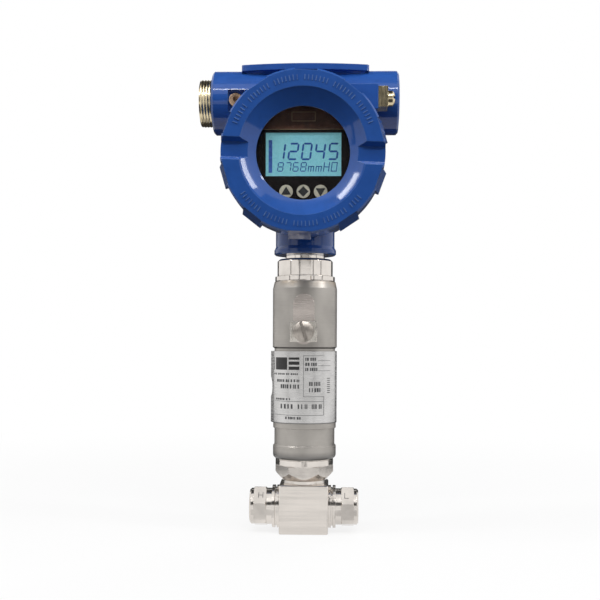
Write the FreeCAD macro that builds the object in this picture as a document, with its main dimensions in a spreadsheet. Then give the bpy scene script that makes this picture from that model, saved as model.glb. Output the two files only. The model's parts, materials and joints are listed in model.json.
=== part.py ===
import FreeCAD, Part
import math
import os
import Sketcher
from FreeCAD import Placement, Rotation, Vector

# Differential pressure transmitter. Millimetres, +Z up, front towards -Y.
# The origin is the bottom centre of the process block, on the body's axis.

# ---------------------------------------------------------------- driving sizes
SIZES = {
    # process block and cell
    "block_side": 25.4,
    "block_edge": 0.5,
    "cell_bore_radius": 9.0,
    "lead_bore_radius": 3.5,
    "cell_radius": 8.9,
    "cell_thickness": 8.0,
    "cell_stem_radius": 3.0,
    "cell_stem_top": 33.0,
    "diaphragm_radius": 6.3,
    "diaphragm_thickness": 0.3,
    "port_seal_inner": 6.6,
    "port_seal_outer": 8.4,
    # port adapters, measured outwards from the block's face
    "adapter_spigot_radius": 8.95,
    "adapter_spigot_length": 7.0,
    "adapter_collar_radius": 11.2,
    "adapter_collar_length": 3.9,
    "adapter_groove_radius": 10.1,
    "adapter_groove_width": 0.9,
    "adapter_skirt_radius": 9.5,
    "adapter_skirt_length": 3.0,
    "adapter_hex_flats": 19.0,
    "adapter_hex_length": 6.6,
    "adapter_end_radius": 9.4,
    "adapter_end_length": 2.3,
    "adapter_end_chamfer": 0.8,
    "adapter_hex_turn": -15.0,
    "port_bore_radius": 5.7,
    "port_bore_depth": 13.0,
    "port_passage_radius": 3.0,
    # sensor base and header
    "base_foot_radius": 11.2,
    "base_foot_top": 27.2,
    "base_hex_flats": 26.4,
    "base_cone_radius": 11.6,
    "base_cone_top": 31.4,
    "base_top": 34.8,
    "base_neck_radius": 13.9,
    "base_neck_top": 44.0,
    "base_pocket_radius": 9.0,
    "base_pocket_floor": 31.0,
    "header_bottom": 36.0,
    "header_thickness": 4.0,
    "pin_radius": 0.4,
    "lead_spacing": 2.6,
    "ring_gap": 0.9,
    "lower_ring_bottom": 35.3,
    "lower_ring_top": 38.0,
    "lower_ring_radius": 15.2,
    # body tube, label, sleeve
    "tube_bottom": 38.4,
    "tube_bead_radius": 16.6,
    "tube_bead_round": 2.0,
    "tube_bead_top": 45.9,
    "tube_radius": 15.875,
    "tube_bore": 14.2,
    "tube_lip_bottom": 54.6,
    "tube_lip_radius": 16.55,
    "tube_lip_top": 94.9,
    "tube_neck_radius": 16.0,
    "tube_top": 131.2,
    "label_inner_radius": 16.6,
    "label_thickness": 0.35,
    "label_bottom": 57.4,
    "label_top": 94.8,
    "label_flap": 5.6,
    "label_scallop_radius": 6.0,
    "sleeve_radius": 16.95,
    "sleeve_bore": 16.05,
    "sleeve_bottom": 96.2,
    "sleeve_shoulder": 127.5,
    "sleeve_top": 131.2,
    "sleeve_top_radius": 16.1,
    "sleeve_slit_width": 2.0,
    "sleeve_slit_bottom": 100.0,
    "sleeve_slit_top": 106.3,
    "upper_ring_inner": 14.4,
    "upper_ring_radius": 15.75,
    "upper_ring_bottom": 131.6,
    "upper_ring_top": 133.8,
    "upper_ring_gap": 2.5,
    # ground terminal on the body
    "pad_width": 10.8,
    "pad_bottom": 97.6,
    "pad_top": 125.0,
    "pad_front": 18.1,
    "clamp_width": 13.8,
    "clamp_height": 10.4,
    "clamp_thickness": 1.0,
    "clamp_side": 2.2,
    "ground_screw_height": 104.8,
    "ground_head_radius": 5.3,
    "ground_head_height": 3.0,
    "ground_shank_radius": 2.0,
    "slot_width": 1.4,
    "slot_depth": 1.3,
    # cap, nipple
    "cap_plug_radius": 14.15,
    "cap_bottom": 120.0,
    "cap_collar_bottom": 134.2,
    "cap_collar_radius": 14.6,
    "cap_top": 143.0,
    "cap_chamfer": 1.1,
    "cap_pocket_floor": 128.0,
    "cap_passage_radius": 5.0,
    "nipple_radius": 10.35,
    "nipple_bore": 7.0,
    "nipple_bottom": 129.0,
    "nipple_top": 157.0,
    # signal board in the body
    "board_width": 20.0,
    "board_thickness": 1.6,
    "board_bottom": 47.0,
    "board_top": 90.0,
    "carrier_radius": 14.1,
    "carrier_thickness": 3.0,
    "lower_carrier": 52.0,
    "upper_carrier": 82.0,
    "wire_radius": 0.6,
    "wire_top": 166.3,
    # housing
    "drum_height": 191.5,
    "drum_radius": 38.5,
    "drum_front_depth": 33.0,
    "drum_band": 16.0,
    "drum_step": 2.5,
    "drum_body_radius": 36.0,
    "drum_depth": 54.0,
    "drum_corner": 8.0,
    "thread_radius": 33.05,
    "thread_depth": 14.0,
    "cavity_radius": 30.5,
    "cavity_back": 16.0,
    "conduit_height": 225.8,
    "conduit_radius": 16.5,
    "conduit_half_length": 48.5,
    "conduit_bore": 10.3,
    "entry_depth": 18.0,
    "wire_way_radius": 9.0,
    "conduit_edge": 1.0,
    "neck_foot_bottom": 145.3,
    "neck_foot_top": 149.4,
    "neck_foot_radius": 16.3,
    "neck_foot_edge": 0.6,
    "neck_foot_slope": 1.6,
    "neck_radius": 15.5,
    "neck_bore": 10.4,
    "neck_bore_top": 159.0,
    "neck_passage": 8.0,
    "top_pad_length": 66.0,
    "top_pad_depth": 24.0,
    "top_pad_bow": 3.0,
    "top_pad_corner": 1.5,
    "top_pad_bottom": 239.8,
    "top_pad_top": 242.9,
    "top_pad_root_length": 40.0,
    "top_pad_root_depth": 16.0,
    "top_pad_root": 233.0,
    "recess_left": -39.6,
    "recess_right": -27.0,
    "recess_bottom": 218.4,
    "recess_top": 229.0,
    "recess_floor": -13.6,
    "lock_screw_x": -35.4,
    "lock_screw_height": 223.6,
    "lock_head_radius": 3.5,
    "lock_head_height": 4.6,
    "lock_shank_radius": 2.0,
    "lock_shank_length": 2.2,
    "socket_flats": 3.0,
    "socket_depth": 2.4,
    # ground terminal on the housing
    "boss_left": 16.0,
    "boss_right": 37.1,
    "boss_bottom": 216.4,
    "boss_top": 228.8,
    "boss_front": -27.2,
    "boss_depth": 18.0,
    "boss_screw_y": -21.9,
    "boss_screw_height": 222.6,
    "boss_clamp_side": 10.3,
    "boss_clamp_thickness": 4.9,
    "boss_head_radius": 3.95,
    "boss_head_height": 4.0,
    "boss_shank_length": 11.0,
    "conduit_adapter_radius": 11.9,
    "conduit_adapter_length": 6.9,
    "conduit_adapter_bore": 8.2,
    "conduit_adapter_spigot": 12.0,
    # cover, measured from the joint face outwards
    "cover_radius": 40.0,
    "cover_edge": 0.8,
    "cover_gap": 0.1,
    "front_flange": 14.0,
    "cover_thread_radius": 33.0,
    "cover_spigot_length": 13.0,
    "cover_spigot_bore": 29.5,
    "lug_count": 10,
    "lug_width": 11.0,
    "lug_start_radius": 38.8,
    "lug_radius": 41.4,
    "lug_ramp_end": 11.5,
    "lug_back": 1.0,
    "wrench_slot_width": 11.5,
    "wrench_slot_floor": 7.2,
    "wrench_slot_depth": 3.5,
    "funnel_radius": 30.2,
    "window_radius": 22.9,
    "window_lip": 8.5,
    "glass_radius": 27.1,
    "glass_thickness": 4.0,
    "glass_clearance": 0.1,
    "gasket_thickness": 0.5,
    "gasket_margin": 0.6,
    "glass_seat": 7.2,
    "retainer_radius": 28.35,
    "retainer_bore": 24.6,
    "retainer_thickness": 1.9,
    "retainer_clearance": 0.05,
    "seal_ring_radius": 35.7,
    "seal_section_radius": 0.95,
    "seal_groove_half": 1.3,
    "seal_groove_depth": 2.0,
    "cover_turn": -2.2,
    # display, depths measured as Y
    "faceplate_radius": 27.5,
    "faceplate_front": -33.0,
    "faceplate_thickness": 1.2,
    "faceplate_rim": 1.4,
    "screen_width": 37.3,
    "screen_height": 21.5,
    "screen_rise": 0.6,
    "panel_margin": 2.2,
    "panel_thickness": 4.2,
    "display_board_front": -27.6,
    "display_board_thickness": 1.6,
    "display_board_radius": 27.3,
    "standoff_radius": 2.2,
    "standoff_circle": 23.0,
    "key_drop": 17.8,
    "key_spacing": 8.5,
    "key_radius": 3.3,
    "key_hole_radius": 3.38,
    "key_proud": 0.3,
    "key_flange_radius": 3.9,
    "key_flange_gap": 0.15,
    "key_flange_thickness": 0.5,
    "key_stem_radius": 1.4,
    "key_travel_gap": 0.6,
    "switch_side": 5.0,
    "switch_height": 1.4,
    # electronics module and terminals
    "module_front": -6.0,
    "module_radius": 28.5,
    "module_flat": 17.0,
    "module_screw_radius": 1.5,
    "module_screw_head": 2.8,
    "module_head_height": 2.0,
    "module_head_room": 0.2,
    "module_screw_circle": 23.0,
    "module_screw_sink": 3.0,
    "module_screw_bite": 3.0,
    "terminal_front": -14.0,
    "terminal_length": 36.0,
    "terminal_height": 14.0,
    "terminal_screw_spacing": 11.0,
    "terminal_screw_head": 3.2,
    "terminal_screw_height": 1.6,
    "terminal_shank_radius": 1.5,
    "terminal_shank_length": 5.0,
    "barrier_thickness": 1.0,
    "barrier_height": 3.0,
    "lead_slot_length": 10.4,
    "lead_slot_width": 1.4,
    "lead_slot_depth": 3.5,
}

doc = FreeCAD.newDocument("pressure_transmitter")
sheet = doc.addObject("Spreadsheet::Sheet", "Sizes")


class Size:
    """A number together with the sheet expression that drives it."""

    def __init__(self, value, text):
        self.value = float(value)
        self.text = text

    def join(self, other, sign, result, swapped=False):
        other_text = other.text if isinstance(other, Size) else repr(float(other))
        left, right = (other_text, self.text) if swapped else (self.text, other_text)
        return Size(result, f"({left} {sign} {right})")

    def __add__(self, other):
        return self.join(other, "+", self.value + float(other))

    def __radd__(self, other):
        return self.join(other, "+", float(other) + self.value, True)

    def __sub__(self, other):
        return self.join(other, "-", self.value - float(other))

    def __rsub__(self, other):
        return self.join(other, "-", float(other) - self.value, True)

    def __mul__(self, other):
        return self.join(other, "*", self.value * float(other))

    def __rmul__(self, other):
        return self.join(other, "*", float(other) * self.value, True)

    def __truediv__(self, other):
        return self.join(other, "/", self.value / float(other))

    def __neg__(self):
        return Size(-self.value, f"(-1 * {self.text})")

    def __float__(self):
        return self.value


class Sizes:
    """The sheet's cells by name."""

    def __init__(self, table):
        for row, (name, number) in enumerate(table.items(), start=1):
            sheet.set(f"A{row}", name)
            sheet.set(f"B{row}", repr(number))
            sheet.setAlias(f"B{row}", name)
            setattr(self, name, Size(number, f"Sizes.{name}"))


s = Sizes(SIZES)
doc.recompute()

# Small overrun that lets a cutting tool leave the solid cleanly.
OVERRUN = 0.5
# How far a wrench lug and the notch in front of it run on past each other.
LUG_LAP = 1.0

# Which way a sub-part's own Z axis points once it is placed.
UP = Rotation()
FRONT = Rotation(Vector(1, 0, 0), 90)
BACK = Rotation(Vector(0, 0, 1), 180).multiply(FRONT)
RIGHT = Rotation(Vector(0, 1, 0), 90)
LEFT = Rotation(Vector(0, 1, 0), -90)

nodes = []


# ---------------------------------------------------------------- helpers
def keep(item, label):
    """Name a finished sub-part and list it for export."""
    item.Label = label
    nodes.append(item)
    return item


def drive(item, name, size):
    """Set one property and bind it to the sheet."""
    setattr(item, name, float(size))
    if isinstance(size, Size):
        item.setExpression(name, size.text)


def place(item, x=0, y=0, z=0, turn=UP):
    """Give an object its Placement, with the offsets bound to the sheet."""
    item.Placement = Placement(Vector(float(x), float(y), float(z)), turn)
    for axis, size in zip("xyz", (x, y, z)):
        if isinstance(size, Size):
            item.setExpression(f".Placement.Base.{axis}", size.text)
    return item


def origin_item(body, role):
    return next(item for item in body.Origin.OriginFeatures if item.Role == role)


def arc_middle(start, end, radius):
    """The middle of an arc of this radius; a negative radius bends it to the other side."""
    chord = end - start
    half = chord.Length / 2
    rise = abs(radius) - math.sqrt(max(radius * radius - half * half, 0.0))
    side = Vector(chord.y, -chord.x, 0).normalize()
    return (start + end) * 0.5 + side * math.copysign(rise, radius)


def new_sketch(body, name, role):
    sketch = body.newObject("Sketcher::SketchObject", name)
    sketch.AttachmentSupport = [(origin_item(body, role), "")]
    sketch.MapMode = "FlatFace"
    return sketch


def pin_corner(sketch, edge, end, number, point):
    """Hold one end of an edge at its two driven coordinates."""
    for kind, letter, size in zip(("DistanceX", "DistanceY"), "uv", point):
        rule = Sketcher.Constraint(kind, -1, 1, edge, end, float(size))
        sketch.renameConstraint(sketch.addConstraint(rule), f"{letter}{number}")
        if isinstance(size, Size):
            sketch.setExpression(f"Constraints.{letter}{number}", size.text)


def outline(body, name, role, points):
    """A closed sketch; a third number at a point bends the edge that arrives there."""
    sketch = new_sketch(body, name, role)
    corners = [Vector(float(point[0]), float(point[1]), 0) for point in points]
    ends = []
    for edge, start in enumerate(corners):
        arrival = (edge + 1) % len(corners)
        end = corners[arrival]
        if len(points[arrival]) < 3:
            sketch.addGeometry(Part.LineSegment(start, end), False)
        else:
            radius = points[arrival][2]
            middle = arc_middle(start, end, float(radius))
            sketch.addGeometry(Part.Arc(start, middle, end), False)
            rule = Sketcher.Constraint("Radius", edge, abs(float(radius)))
            sketch.renameConstraint(sketch.addConstraint(rule), f"bend{edge}")
        forward = sketch.getPoint(edge, 1).isEqual(start, 1e-6)
        ends.append((1, 2) if forward else (2, 1))
    for edge, point in enumerate(points):
        previous = edge - 1 if edge else len(points) - 1
        joint = Sketcher.Constraint("Coincident", previous, ends[previous][1], edge, ends[edge][0])
        sketch.addConstraint(joint)
        pin_corner(sketch, edge, ends[edge][0], edge, point[:2])
    return sketch


def disc(body, name, role, centre, radius):
    """A sketch with one driven circle."""
    sketch = new_sketch(body, name, role)
    middle = Vector(float(centre[0]), float(centre[1]), 0)
    sketch.addGeometry(Part.Circle(middle, Vector(0, 0, 1), float(radius)), False)
    pin_corner(sketch, 0, 3, 0, centre)
    rule = sketch.addConstraint(Sketcher.Constraint("Radius", 0, float(radius)))
    sketch.renameConstraint(rule, "radius")
    if isinstance(radius, Size):
        sketch.setExpression("Constraints.radius", radius.text)
    return sketch


def turned(name, points, angle=360):
    """A body turned about its own Z axis from an outline of radius and height."""
    body = doc.addObject("PartDesign::Body", name)
    feature = body.newObject("PartDesign::Revolution", f"{name}_turning")
    sketch = outline(body, f"{name}_profile", "XZ_Plane", points)
    feature.Profile = sketch
    feature.ReferenceAxis = (sketch, ["V_Axis"])
    feature.Angle = angle
    body.Tip = feature
    return body


def extruded(body, name, sketch, length, kind="Pad", symmetric=True, reverse=False):
    """A pad or pocket of a sketch, even about its plane unless told otherwise."""
    feature = body.newObject(f"PartDesign::{kind}", name)
    feature.Profile = sketch
    drive(feature, "Length", length)
    feature.SideType = "Symmetric" if symmetric else "One side"
    feature.Reversed = reverse
    body.Tip = feature
    return feature


def polar(body, name, features, count):
    """Repeat features round the body's own Z axis."""
    pattern = body.newObject("PartDesign::PolarPattern", name)
    pattern.Originals = features
    pattern.Axis = (origin_item(body, "Z_Axis"), [""])
    pattern.Angle = 360
    pattern.Occurrences = int(float(count))
    body.Tip = pattern
    return pattern


def ring(name, inner, outer, bottom, top):
    """A plain turned ring."""
    return turned(name, [(inner, bottom), (outer, bottom), (outer, top), (inner, top)])


def cylinder(name, radius, height, x=0, y=0, z=0, turn=UP):
    solid = doc.addObject("Part::Cylinder", name)
    drive(solid, "Radius", radius)
    drive(solid, "Height", height)
    return place(solid, x, y, z, turn)


def box(name, low, high):
    """A box between two corners."""
    solid = doc.addObject("Part::Box", name)
    for side, start, end in zip(("Length", "Width", "Height"), low, high):
        drive(solid, side, end - start)
    return place(solid, *low)


def fuse(name, *solids):
    union = doc.addObject("Part::MultiFuse", name)
    union.Shapes = list(solids)
    union.Refine = True
    return union


def cut(name, base, *tools):
    result = doc.addObject("Part::Cut", name)
    result.Base = base
    result.Tool = tools[0] if len(tools) == 1 else fuse(f"{name}_tools", *tools)
    result.Refine = True
    return result


def dish_radius(rim, lip):
    """Radius of the ball, centred on the axis, that passes through both edges of a dish."""
    rim_radius, rim_height = rim
    lip_radius, lip_height = lip
    rise = rim_height - lip_height
    spread = rim_radius * rim_radius - lip_radius * lip_radius
    above = (spread / rise + rise) / 2
    squared = lip_radius * lip_radius + above * above
    return Size(math.sqrt(squared.value), f"sqrt({squared.text})")


def rounded(radius, level, size, way, steps=3):
    """Points of a corner eased in short flats, from the side wall round to the end face.

    The end face is at that level, above the wall where way is 1 and below it where way is -1.
    """
    points = []
    for step in range(steps + 1):
        angle = math.radians(90 * step / steps)
        across = round(math.cos(angle), 6)
        along = round(math.sin(angle), 6)
        points.append((radius - size + size * across, level + size * (way * (along - 1))))
    return points


def group(name, solids):
    """Identical loose pieces kept together as one node."""
    bundle = doc.addObject("Part::Compound", name)
    bundle.Links = list(solids)
    return bundle


def milled_flats(body, name, flats, corner, bottom, top):
    """Six flats milled on a round blank."""
    points = [(flats / 2, bottom), (corner + 1, bottom), (corner + 1, top), (flats / 2, top)]
    sketch = outline(body, f"{name}_flat_outline", "YZ_Plane", points)
    flat = extruded(body, f"{name}_flat", sketch, flats, "Pocket")
    return polar(body, f"{name}_flats", [flat], 6)


def screw_slot(body, name, top, head_radius):
    """A straight driver slot across a screw's head."""
    half = s.slot_width / 2
    floor = top - s.slot_depth
    points = [(-half, floor), (half, floor), (half, top + OVERRUN), (-half, top + OVERRUN)]
    sketch = outline(body, f"{name}_slot_outline", "XZ_Plane", points)
    return extruded(body, f"{name}_slot", sketch, head_radius * 3, "Pocket")


# ---------------------------------------------------------------- wetted end
def build_process_block():
    """A square block, bored across for the cell and upwards for its leads."""
    side = s.block_side
    half = side / 2
    blank = box("block_blank", (-half, -half, 0), (half, half, side))
    cell_bore = cylinder("cell_bore", s.cell_bore_radius, side + 2, -half - 1, 0, half, RIGHT)
    lead_bore = cylinder("lead_bore", s.lead_bore_radius, half + 1, 0, 0, half)
    edged = doc.addObject("Part::Chamfer", "block_edges")
    edged.Base = blank
    doc.recompute()
    edge = float(s.block_edge)
    edged.Edges = [(number + 1, edge, edge) for number in range(len(blank.Shape.Edges))]
    keep(cut("process_block", edged, cell_bore, lead_bore), "process_block")


def build_port_adapter(label, turn, x):
    """A pipe adapter: threaded spigot, grooved collar, skirt, hexagon and rounded end."""
    collar = s.adapter_collar_length
    groove = (collar - s.adapter_groove_width) / 2
    skirt = collar + s.adapter_skirt_length
    hexagon = skirt + s.adapter_hex_length
    end = hexagon + s.adapter_end_length
    corner = s.adapter_hex_flats * (1 / math.cos(math.radians(30))) / 2
    chamfer = s.adapter_end_chamfer
    floor = end - s.port_bore_depth
    body = turned(
        label,
        [
            (s.port_passage_radius, -s.adapter_spigot_length),
            (s.adapter_spigot_radius, -s.adapter_spigot_length),
            (s.adapter_spigot_radius, 0),
            (s.adapter_collar_radius, 0),
            (s.adapter_collar_radius, groove),
            (s.adapter_groove_radius, groove),
            (s.adapter_groove_radius, groove + s.adapter_groove_width),
            (s.adapter_collar_radius, groove + s.adapter_groove_width),
            (s.adapter_collar_radius, collar),
            (s.adapter_skirt_radius, collar),
            (s.adapter_skirt_radius, skirt),
            (corner - chamfer, skirt),
            (corner, skirt + chamfer / 2),
            (corner, hexagon - chamfer / 2),
            (corner - chamfer, hexagon),
            (s.adapter_end_radius, hexagon),
            (s.adapter_end_radius, end - chamfer),
            (s.adapter_end_radius - chamfer, end),
            (s.port_bore_radius, end),
            (s.port_bore_radius, floor),
            (s.port_passage_radius, floor),
        ],
    )
    milled_flats(body, label, s.adapter_hex_flats, corner, skirt, hexagon)
    roll = float(s.adapter_hex_turn)
    own_turn = Rotation(Vector(0, 0, 1), roll if x.value < 0 else -roll)
    place(body, x, 0, s.block_side / 2, turn.multiply(own_turn))
    keep(body, label)


def build_port_seal(label, turn, x):
    """A flat gasket between the adapter's spigot and the cell."""
    gap = s.block_side / 2 - s.adapter_spigot_length - s.cell_thickness / 2
    body = ring(label, s.port_seal_inner, s.port_seal_outer, 0, gap)
    keep(place(body, x, 0, s.block_side / 2, turn), label)


def build_cell():
    """The differential cell lies across the block; its stem carries the leads upwards."""
    half = s.cell_thickness / 2
    height = s.block_side / 2
    drum = cylinder("cell_drum", s.cell_radius, s.cell_thickness, -half, 0, height, RIGHT)
    stem = cylinder("cell_stem", s.cell_stem_radius, s.cell_stem_top - height, 0, 0, height)
    keep(fuse("sensor_capsule", drum, stem), "sensor_capsule")
    for label, turn, x in (("high_diaphragm", LEFT, -half), ("low_diaphragm", RIGHT, half)):
        disc_radius = s.diaphragm_radius
        keep(cylinder(label, disc_radius, s.diaphragm_thickness, x, 0, height, turn), label)


def build_sensor_base():
    """Turned base with six flats, coned below, and a neck that carries the body tube."""
    corner = s.base_hex_flats * (1 / math.cos(math.radians(30))) / 2
    body = turned(
        "sensor_base",
        [
            (s.lead_bore_radius, s.block_side),
            (s.base_foot_radius, s.block_side),
            (s.base_foot_radius, s.base_foot_top),
            (s.base_cone_radius, s.base_foot_top),
            (corner, s.base_cone_top),
            (corner, s.base_top),
            (s.base_neck_radius, s.base_top),
            (s.base_neck_radius, s.base_neck_top),
            (s.base_pocket_radius, s.base_neck_top),
            (s.base_pocket_radius, s.base_pocket_floor),
            (s.lead_bore_radius, s.base_pocket_floor),
        ],
    )
    milled_flats(body, "sensor_base", s.base_hex_flats, corner, s.base_foot_top, s.base_top)
    keep(body, "sensor_base")


def lead_rows():
    """The four leads stand in one row across the body."""
    return [s.lead_spacing * step for step in (-1.5, -0.5, 0.5, 1.5)]


def build_header():
    """A glass header with four pins that reach the signal board."""
    radius = s.base_pocket_radius
    plug = cylinder("header_plug", radius, s.header_thickness, 0, 0, s.header_bottom)
    rows = lead_rows()
    tall = s.header_thickness + 2
    low = s.header_bottom - 1
    holes = [cylinder(f"pin_hole_{n}", s.pin_radius, tall, x, 0, low) for n, x in enumerate(rows)]
    keep(cut("header", plug, *holes), "header")
    reach = s.board_bottom - s.cell_stem_top
    bottom = s.cell_stem_top
    pins = [cylinder(f"pin_{n}", s.pin_radius, reach, x, 0, bottom) for n, x in enumerate(rows)]
    keep(group("header_pins", pins), "header_pins")


def build_split_ring(label, inner, outer, bottom, top, gap, slant, gap_x):
    """A retaining ring with one slanted split at the front."""
    body = ring(label, inner, outer, bottom, top)
    lean = float(top - bottom) * math.tan(math.radians(slant)) / 2
    half = gap / 2
    points = [
        (gap_x - half - lean, bottom - OVERRUN),
        (gap_x + half - lean, bottom - OVERRUN),
        (gap_x + half + lean, top + OVERRUN),
        (gap_x - half + lean, top + OVERRUN),
    ]
    sketch = outline(body, f"{label}_split_outline", "XZ_Plane", points)
    extruded(body, f"{label}_split", sketch, outer * 2, "Pocket", False, True)
    keep(body, label)


# ---------------------------------------------------------------- body
def build_body_tube():
    """One turned tube: bead at the foot, plain shank, lip under the label, slim neck."""
    edge = s.cover_edge
    body = turned(
        "body_tube",
        [
            (s.tube_bore, s.tube_bottom),
            *reversed(rounded(s.tube_bead_radius, s.tube_bottom, s.tube_bead_round, -1)),
            (s.tube_bead_radius, s.tube_bead_top - edge),
            (s.tube_radius, s.tube_bead_top),
            (s.tube_radius, s.tube_lip_bottom),
            (s.tube_lip_radius, s.tube_lip_bottom),
            (s.tube_lip_radius, s.tube_lip_top),
            (s.tube_neck_radius, s.tube_lip_top),
            (s.tube_neck_radius, s.tube_top),
            (s.tube_bore, s.tube_top),
        ],
    )
    keep(body, "body_tube")


def build_label_plate():
    """A thin plate rolled round the tube; its left edge runs on straight and is scalloped."""
    inner = s.label_inner_radius
    outer = inner + s.label_thickness
    low = s.label_bottom
    high = s.label_top
    body = turned("label_plate", [(inner, low), (outer, low), (outer, high), (inner, high)], 260)
    flap_points = [(inner, -s.label_flap), (outer, -s.label_flap), (outer, 0), (inner, 0)]
    flap = outline(body, "label_flap_outline", "XY_Plane", flap_points)
    flap.AttachmentOffset = Placement(Vector(0, 0, float(low)), UP)
    flap.setExpression(".AttachmentOffset.Base.z", low.text)
    extruded(body, "label_flap", flap, high - low, "Pad", False)
    bite = s.label_scallop_radius
    centre = (-s.label_flap - bite / 2, (low + high) / 2)
    scallop = disc(body, "label_scallop_outline", "YZ_Plane", centre, bite)
    extruded(body, "label_scallop", scallop, outer * 2, "Pocket", False, True)
    start_angle = 198
    keep(place(body, turn=Rotation(Vector(0, 0, 1), start_angle)), "label_plate")


def build_upper_sleeve():
    """Outer sleeve with a rounded lower edge, a tapered shoulder and a slit on each side."""
    edge = s.cover_edge
    body = turned(
        "upper_sleeve",
        [
            (s.sleeve_bore, s.sleeve_bottom),
            (s.sleeve_radius - edge, s.sleeve_bottom),
            (s.sleeve_radius, s.sleeve_bottom + edge),
            (s.sleeve_radius, s.sleeve_shoulder),
            (s.sleeve_top_radius, s.sleeve_top),
            (s.sleeve_bore, s.sleeve_top),
        ],
    )
    half = s.sleeve_slit_width / 2
    low = s.sleeve_slit_bottom
    high = s.sleeve_slit_top
    slit = outline(
        body, "sleeve_slit_outline", "YZ_Plane", [(-half, low), (half, low), (half, high), (-half, high)]
    )
    extruded(body, "sleeve_slit", slit, s.sleeve_radius * 3, "Pocket")
    hole = disc(body, "sleeve_hole_outline", "XZ_Plane", (0, s.ground_screw_height), s.ground_shank_radius)
    extruded(body, "sleeve_hole", hole, s.sleeve_radius * 2, "Pocket", False, True)
    keep(body, "upper_sleeve")


def build_ground_pad():
    """A flat-fronted pad with round ends, welded to the sleeve and tapped for the screw."""
    half = s.pad_width / 2
    low = s.pad_bottom + half
    high = s.pad_top - half
    body = doc.addObject("PartDesign::Body", "pad_blank")
    # Just short of a half circle, so that the arc's radius and its ends agree.
    bend = half * 1.01
    points = [(-half, low), (half, low, bend), (half, high), (-half, high, bend)]
    sketch = outline(body, "pad_outline", "XZ_Plane", points)
    extruded(body, "pad_block", sketch, s.pad_front, "Pad", False)
    hole = disc(body, "pad_hole_outline", "XZ_Plane", (0, s.ground_screw_height), s.ground_shank_radius)
    extruded(body, "pad_hole", hole, s.pad_front * 3, "Pocket")
    height = s.pad_top - s.pad_bottom
    core = cylinder("pad_seat", s.sleeve_radius, height + 2, 0, 0, s.pad_bottom - 1)
    keep(cut("ground_pad", body, core), "ground_pad")


def build_ground_clamp():
    """A square plate under the screw, with its two sides turned up."""
    half = s.clamp_width / 2
    back = -s.pad_front
    face = back - s.clamp_thickness
    lip = face - s.clamp_side
    wall = s.clamp_thickness
    low = s.ground_screw_height - s.clamp_height / 2
    high = s.ground_screw_height + s.clamp_height / 2
    plate = box("clamp_plate", (-half, face, low), (half, back, high))
    left = box("clamp_left", (-half, lip, low), (wall - half, face, high))
    right = box("clamp_right", (half - wall, lip, low), (half, face, high))
    body = fuse("clamp_blank", plate, left, right)
    tall = s.clamp_thickness + 2
    hole = cylinder("clamp_hole", s.ground_shank_radius, tall, 0, back + 1, s.ground_screw_height, FRONT)
    keep(cut("ground_clamp", body, hole), "ground_clamp")


def slotted_screw(label, head_radius, head_height, shank_radius, shank_length):
    """A slotted screw with a domed head; its own zero height is under the head."""
    dome = head_height * SCREW_DOME
    body = turned(
        label,
        [
            (0, -shank_length),
            (shank_radius, -shank_length),
            (shank_radius, 0),
            (head_radius, 0),
            (head_radius, head_height - dome),
            (0, head_height, dish_radius((head_radius, head_height - dome), (0, head_height))),
        ],
    )
    screw_slot(body, label, head_height, head_radius)
    return body


def build_ground_screw():
    depth = s.clamp_thickness + s.pad_front - s.tube_neck_radius
    head = slotted_screw(
        "ground_screw", s.ground_head_radius, s.ground_head_height, s.ground_shank_radius, depth
    )
    slot_turn = Rotation(Vector(0, 0, 1), GROUND_SLOT_TURN)
    seat = -s.pad_front - s.clamp_thickness
    place(head, 0, seat, s.ground_screw_height, FRONT.multiply(slot_turn))
    keep(head, "ground_screw")


def build_cap_and_nipple():
    """The cap plugs the tube and takes the pipe nipple that carries the housing."""
    chamfer = s.cap_chamfer
    cap = turned(
        "body_cap",
        [
            (s.cap_passage_radius, s.cap_bottom),
            (s.cap_plug_radius, s.cap_bottom),
            (s.cap_plug_radius, s.cap_collar_bottom),
            (s.cap_collar_radius, s.cap_collar_bottom),
            (s.cap_collar_radius, s.cap_top - chamfer),
            (s.cap_collar_radius - chamfer, s.cap_top),
            (s.nipple_radius, s.cap_top),
            (s.nipple_radius, s.cap_pocket_floor),
            (s.cap_passage_radius, s.cap_pocket_floor),
        ],
    )
    keep(cap, "body_cap")
    nipple = ring("neck_nipple", s.nipple_bore, s.nipple_radius, s.nipple_bottom, s.nipple_top)
    keep(nipple, "neck_nipple")


def build_signal_board():
    """A narrow board held by two slotted carriers, with four leads up to the terminals."""
    half = s.board_width / 2
    skin = s.board_thickness / 2
    board = box("sensor_board", (-half, -skin, s.board_bottom), (half, skin, s.board_top))
    keep(board, "sensor_board")
    carriers = []
    for name, level in (("lower_carrier", s.lower_carrier), ("upper_carrier", s.upper_carrier)):
        high = level + s.carrier_thickness
        blank = cylinder(f"{name}_blank", s.carrier_radius, s.carrier_thickness, 0, 0, level)
        slot = box(f"{name}_slot", (-half, -skin, level - 1), (half, skin, high + 1))
        carriers.append(cut(name, blank, slot))
    keep(group("board_carriers", carriers), "board_carriers")
    length = s.wire_top - s.board_top
    wires = [
        cylinder(f"wire_{n}", s.wire_radius, length, x, 0, s.board_top) for n, x in enumerate(lead_rows())
    ]
    keep(group("lead_wires", wires), "lead_wires")


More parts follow.
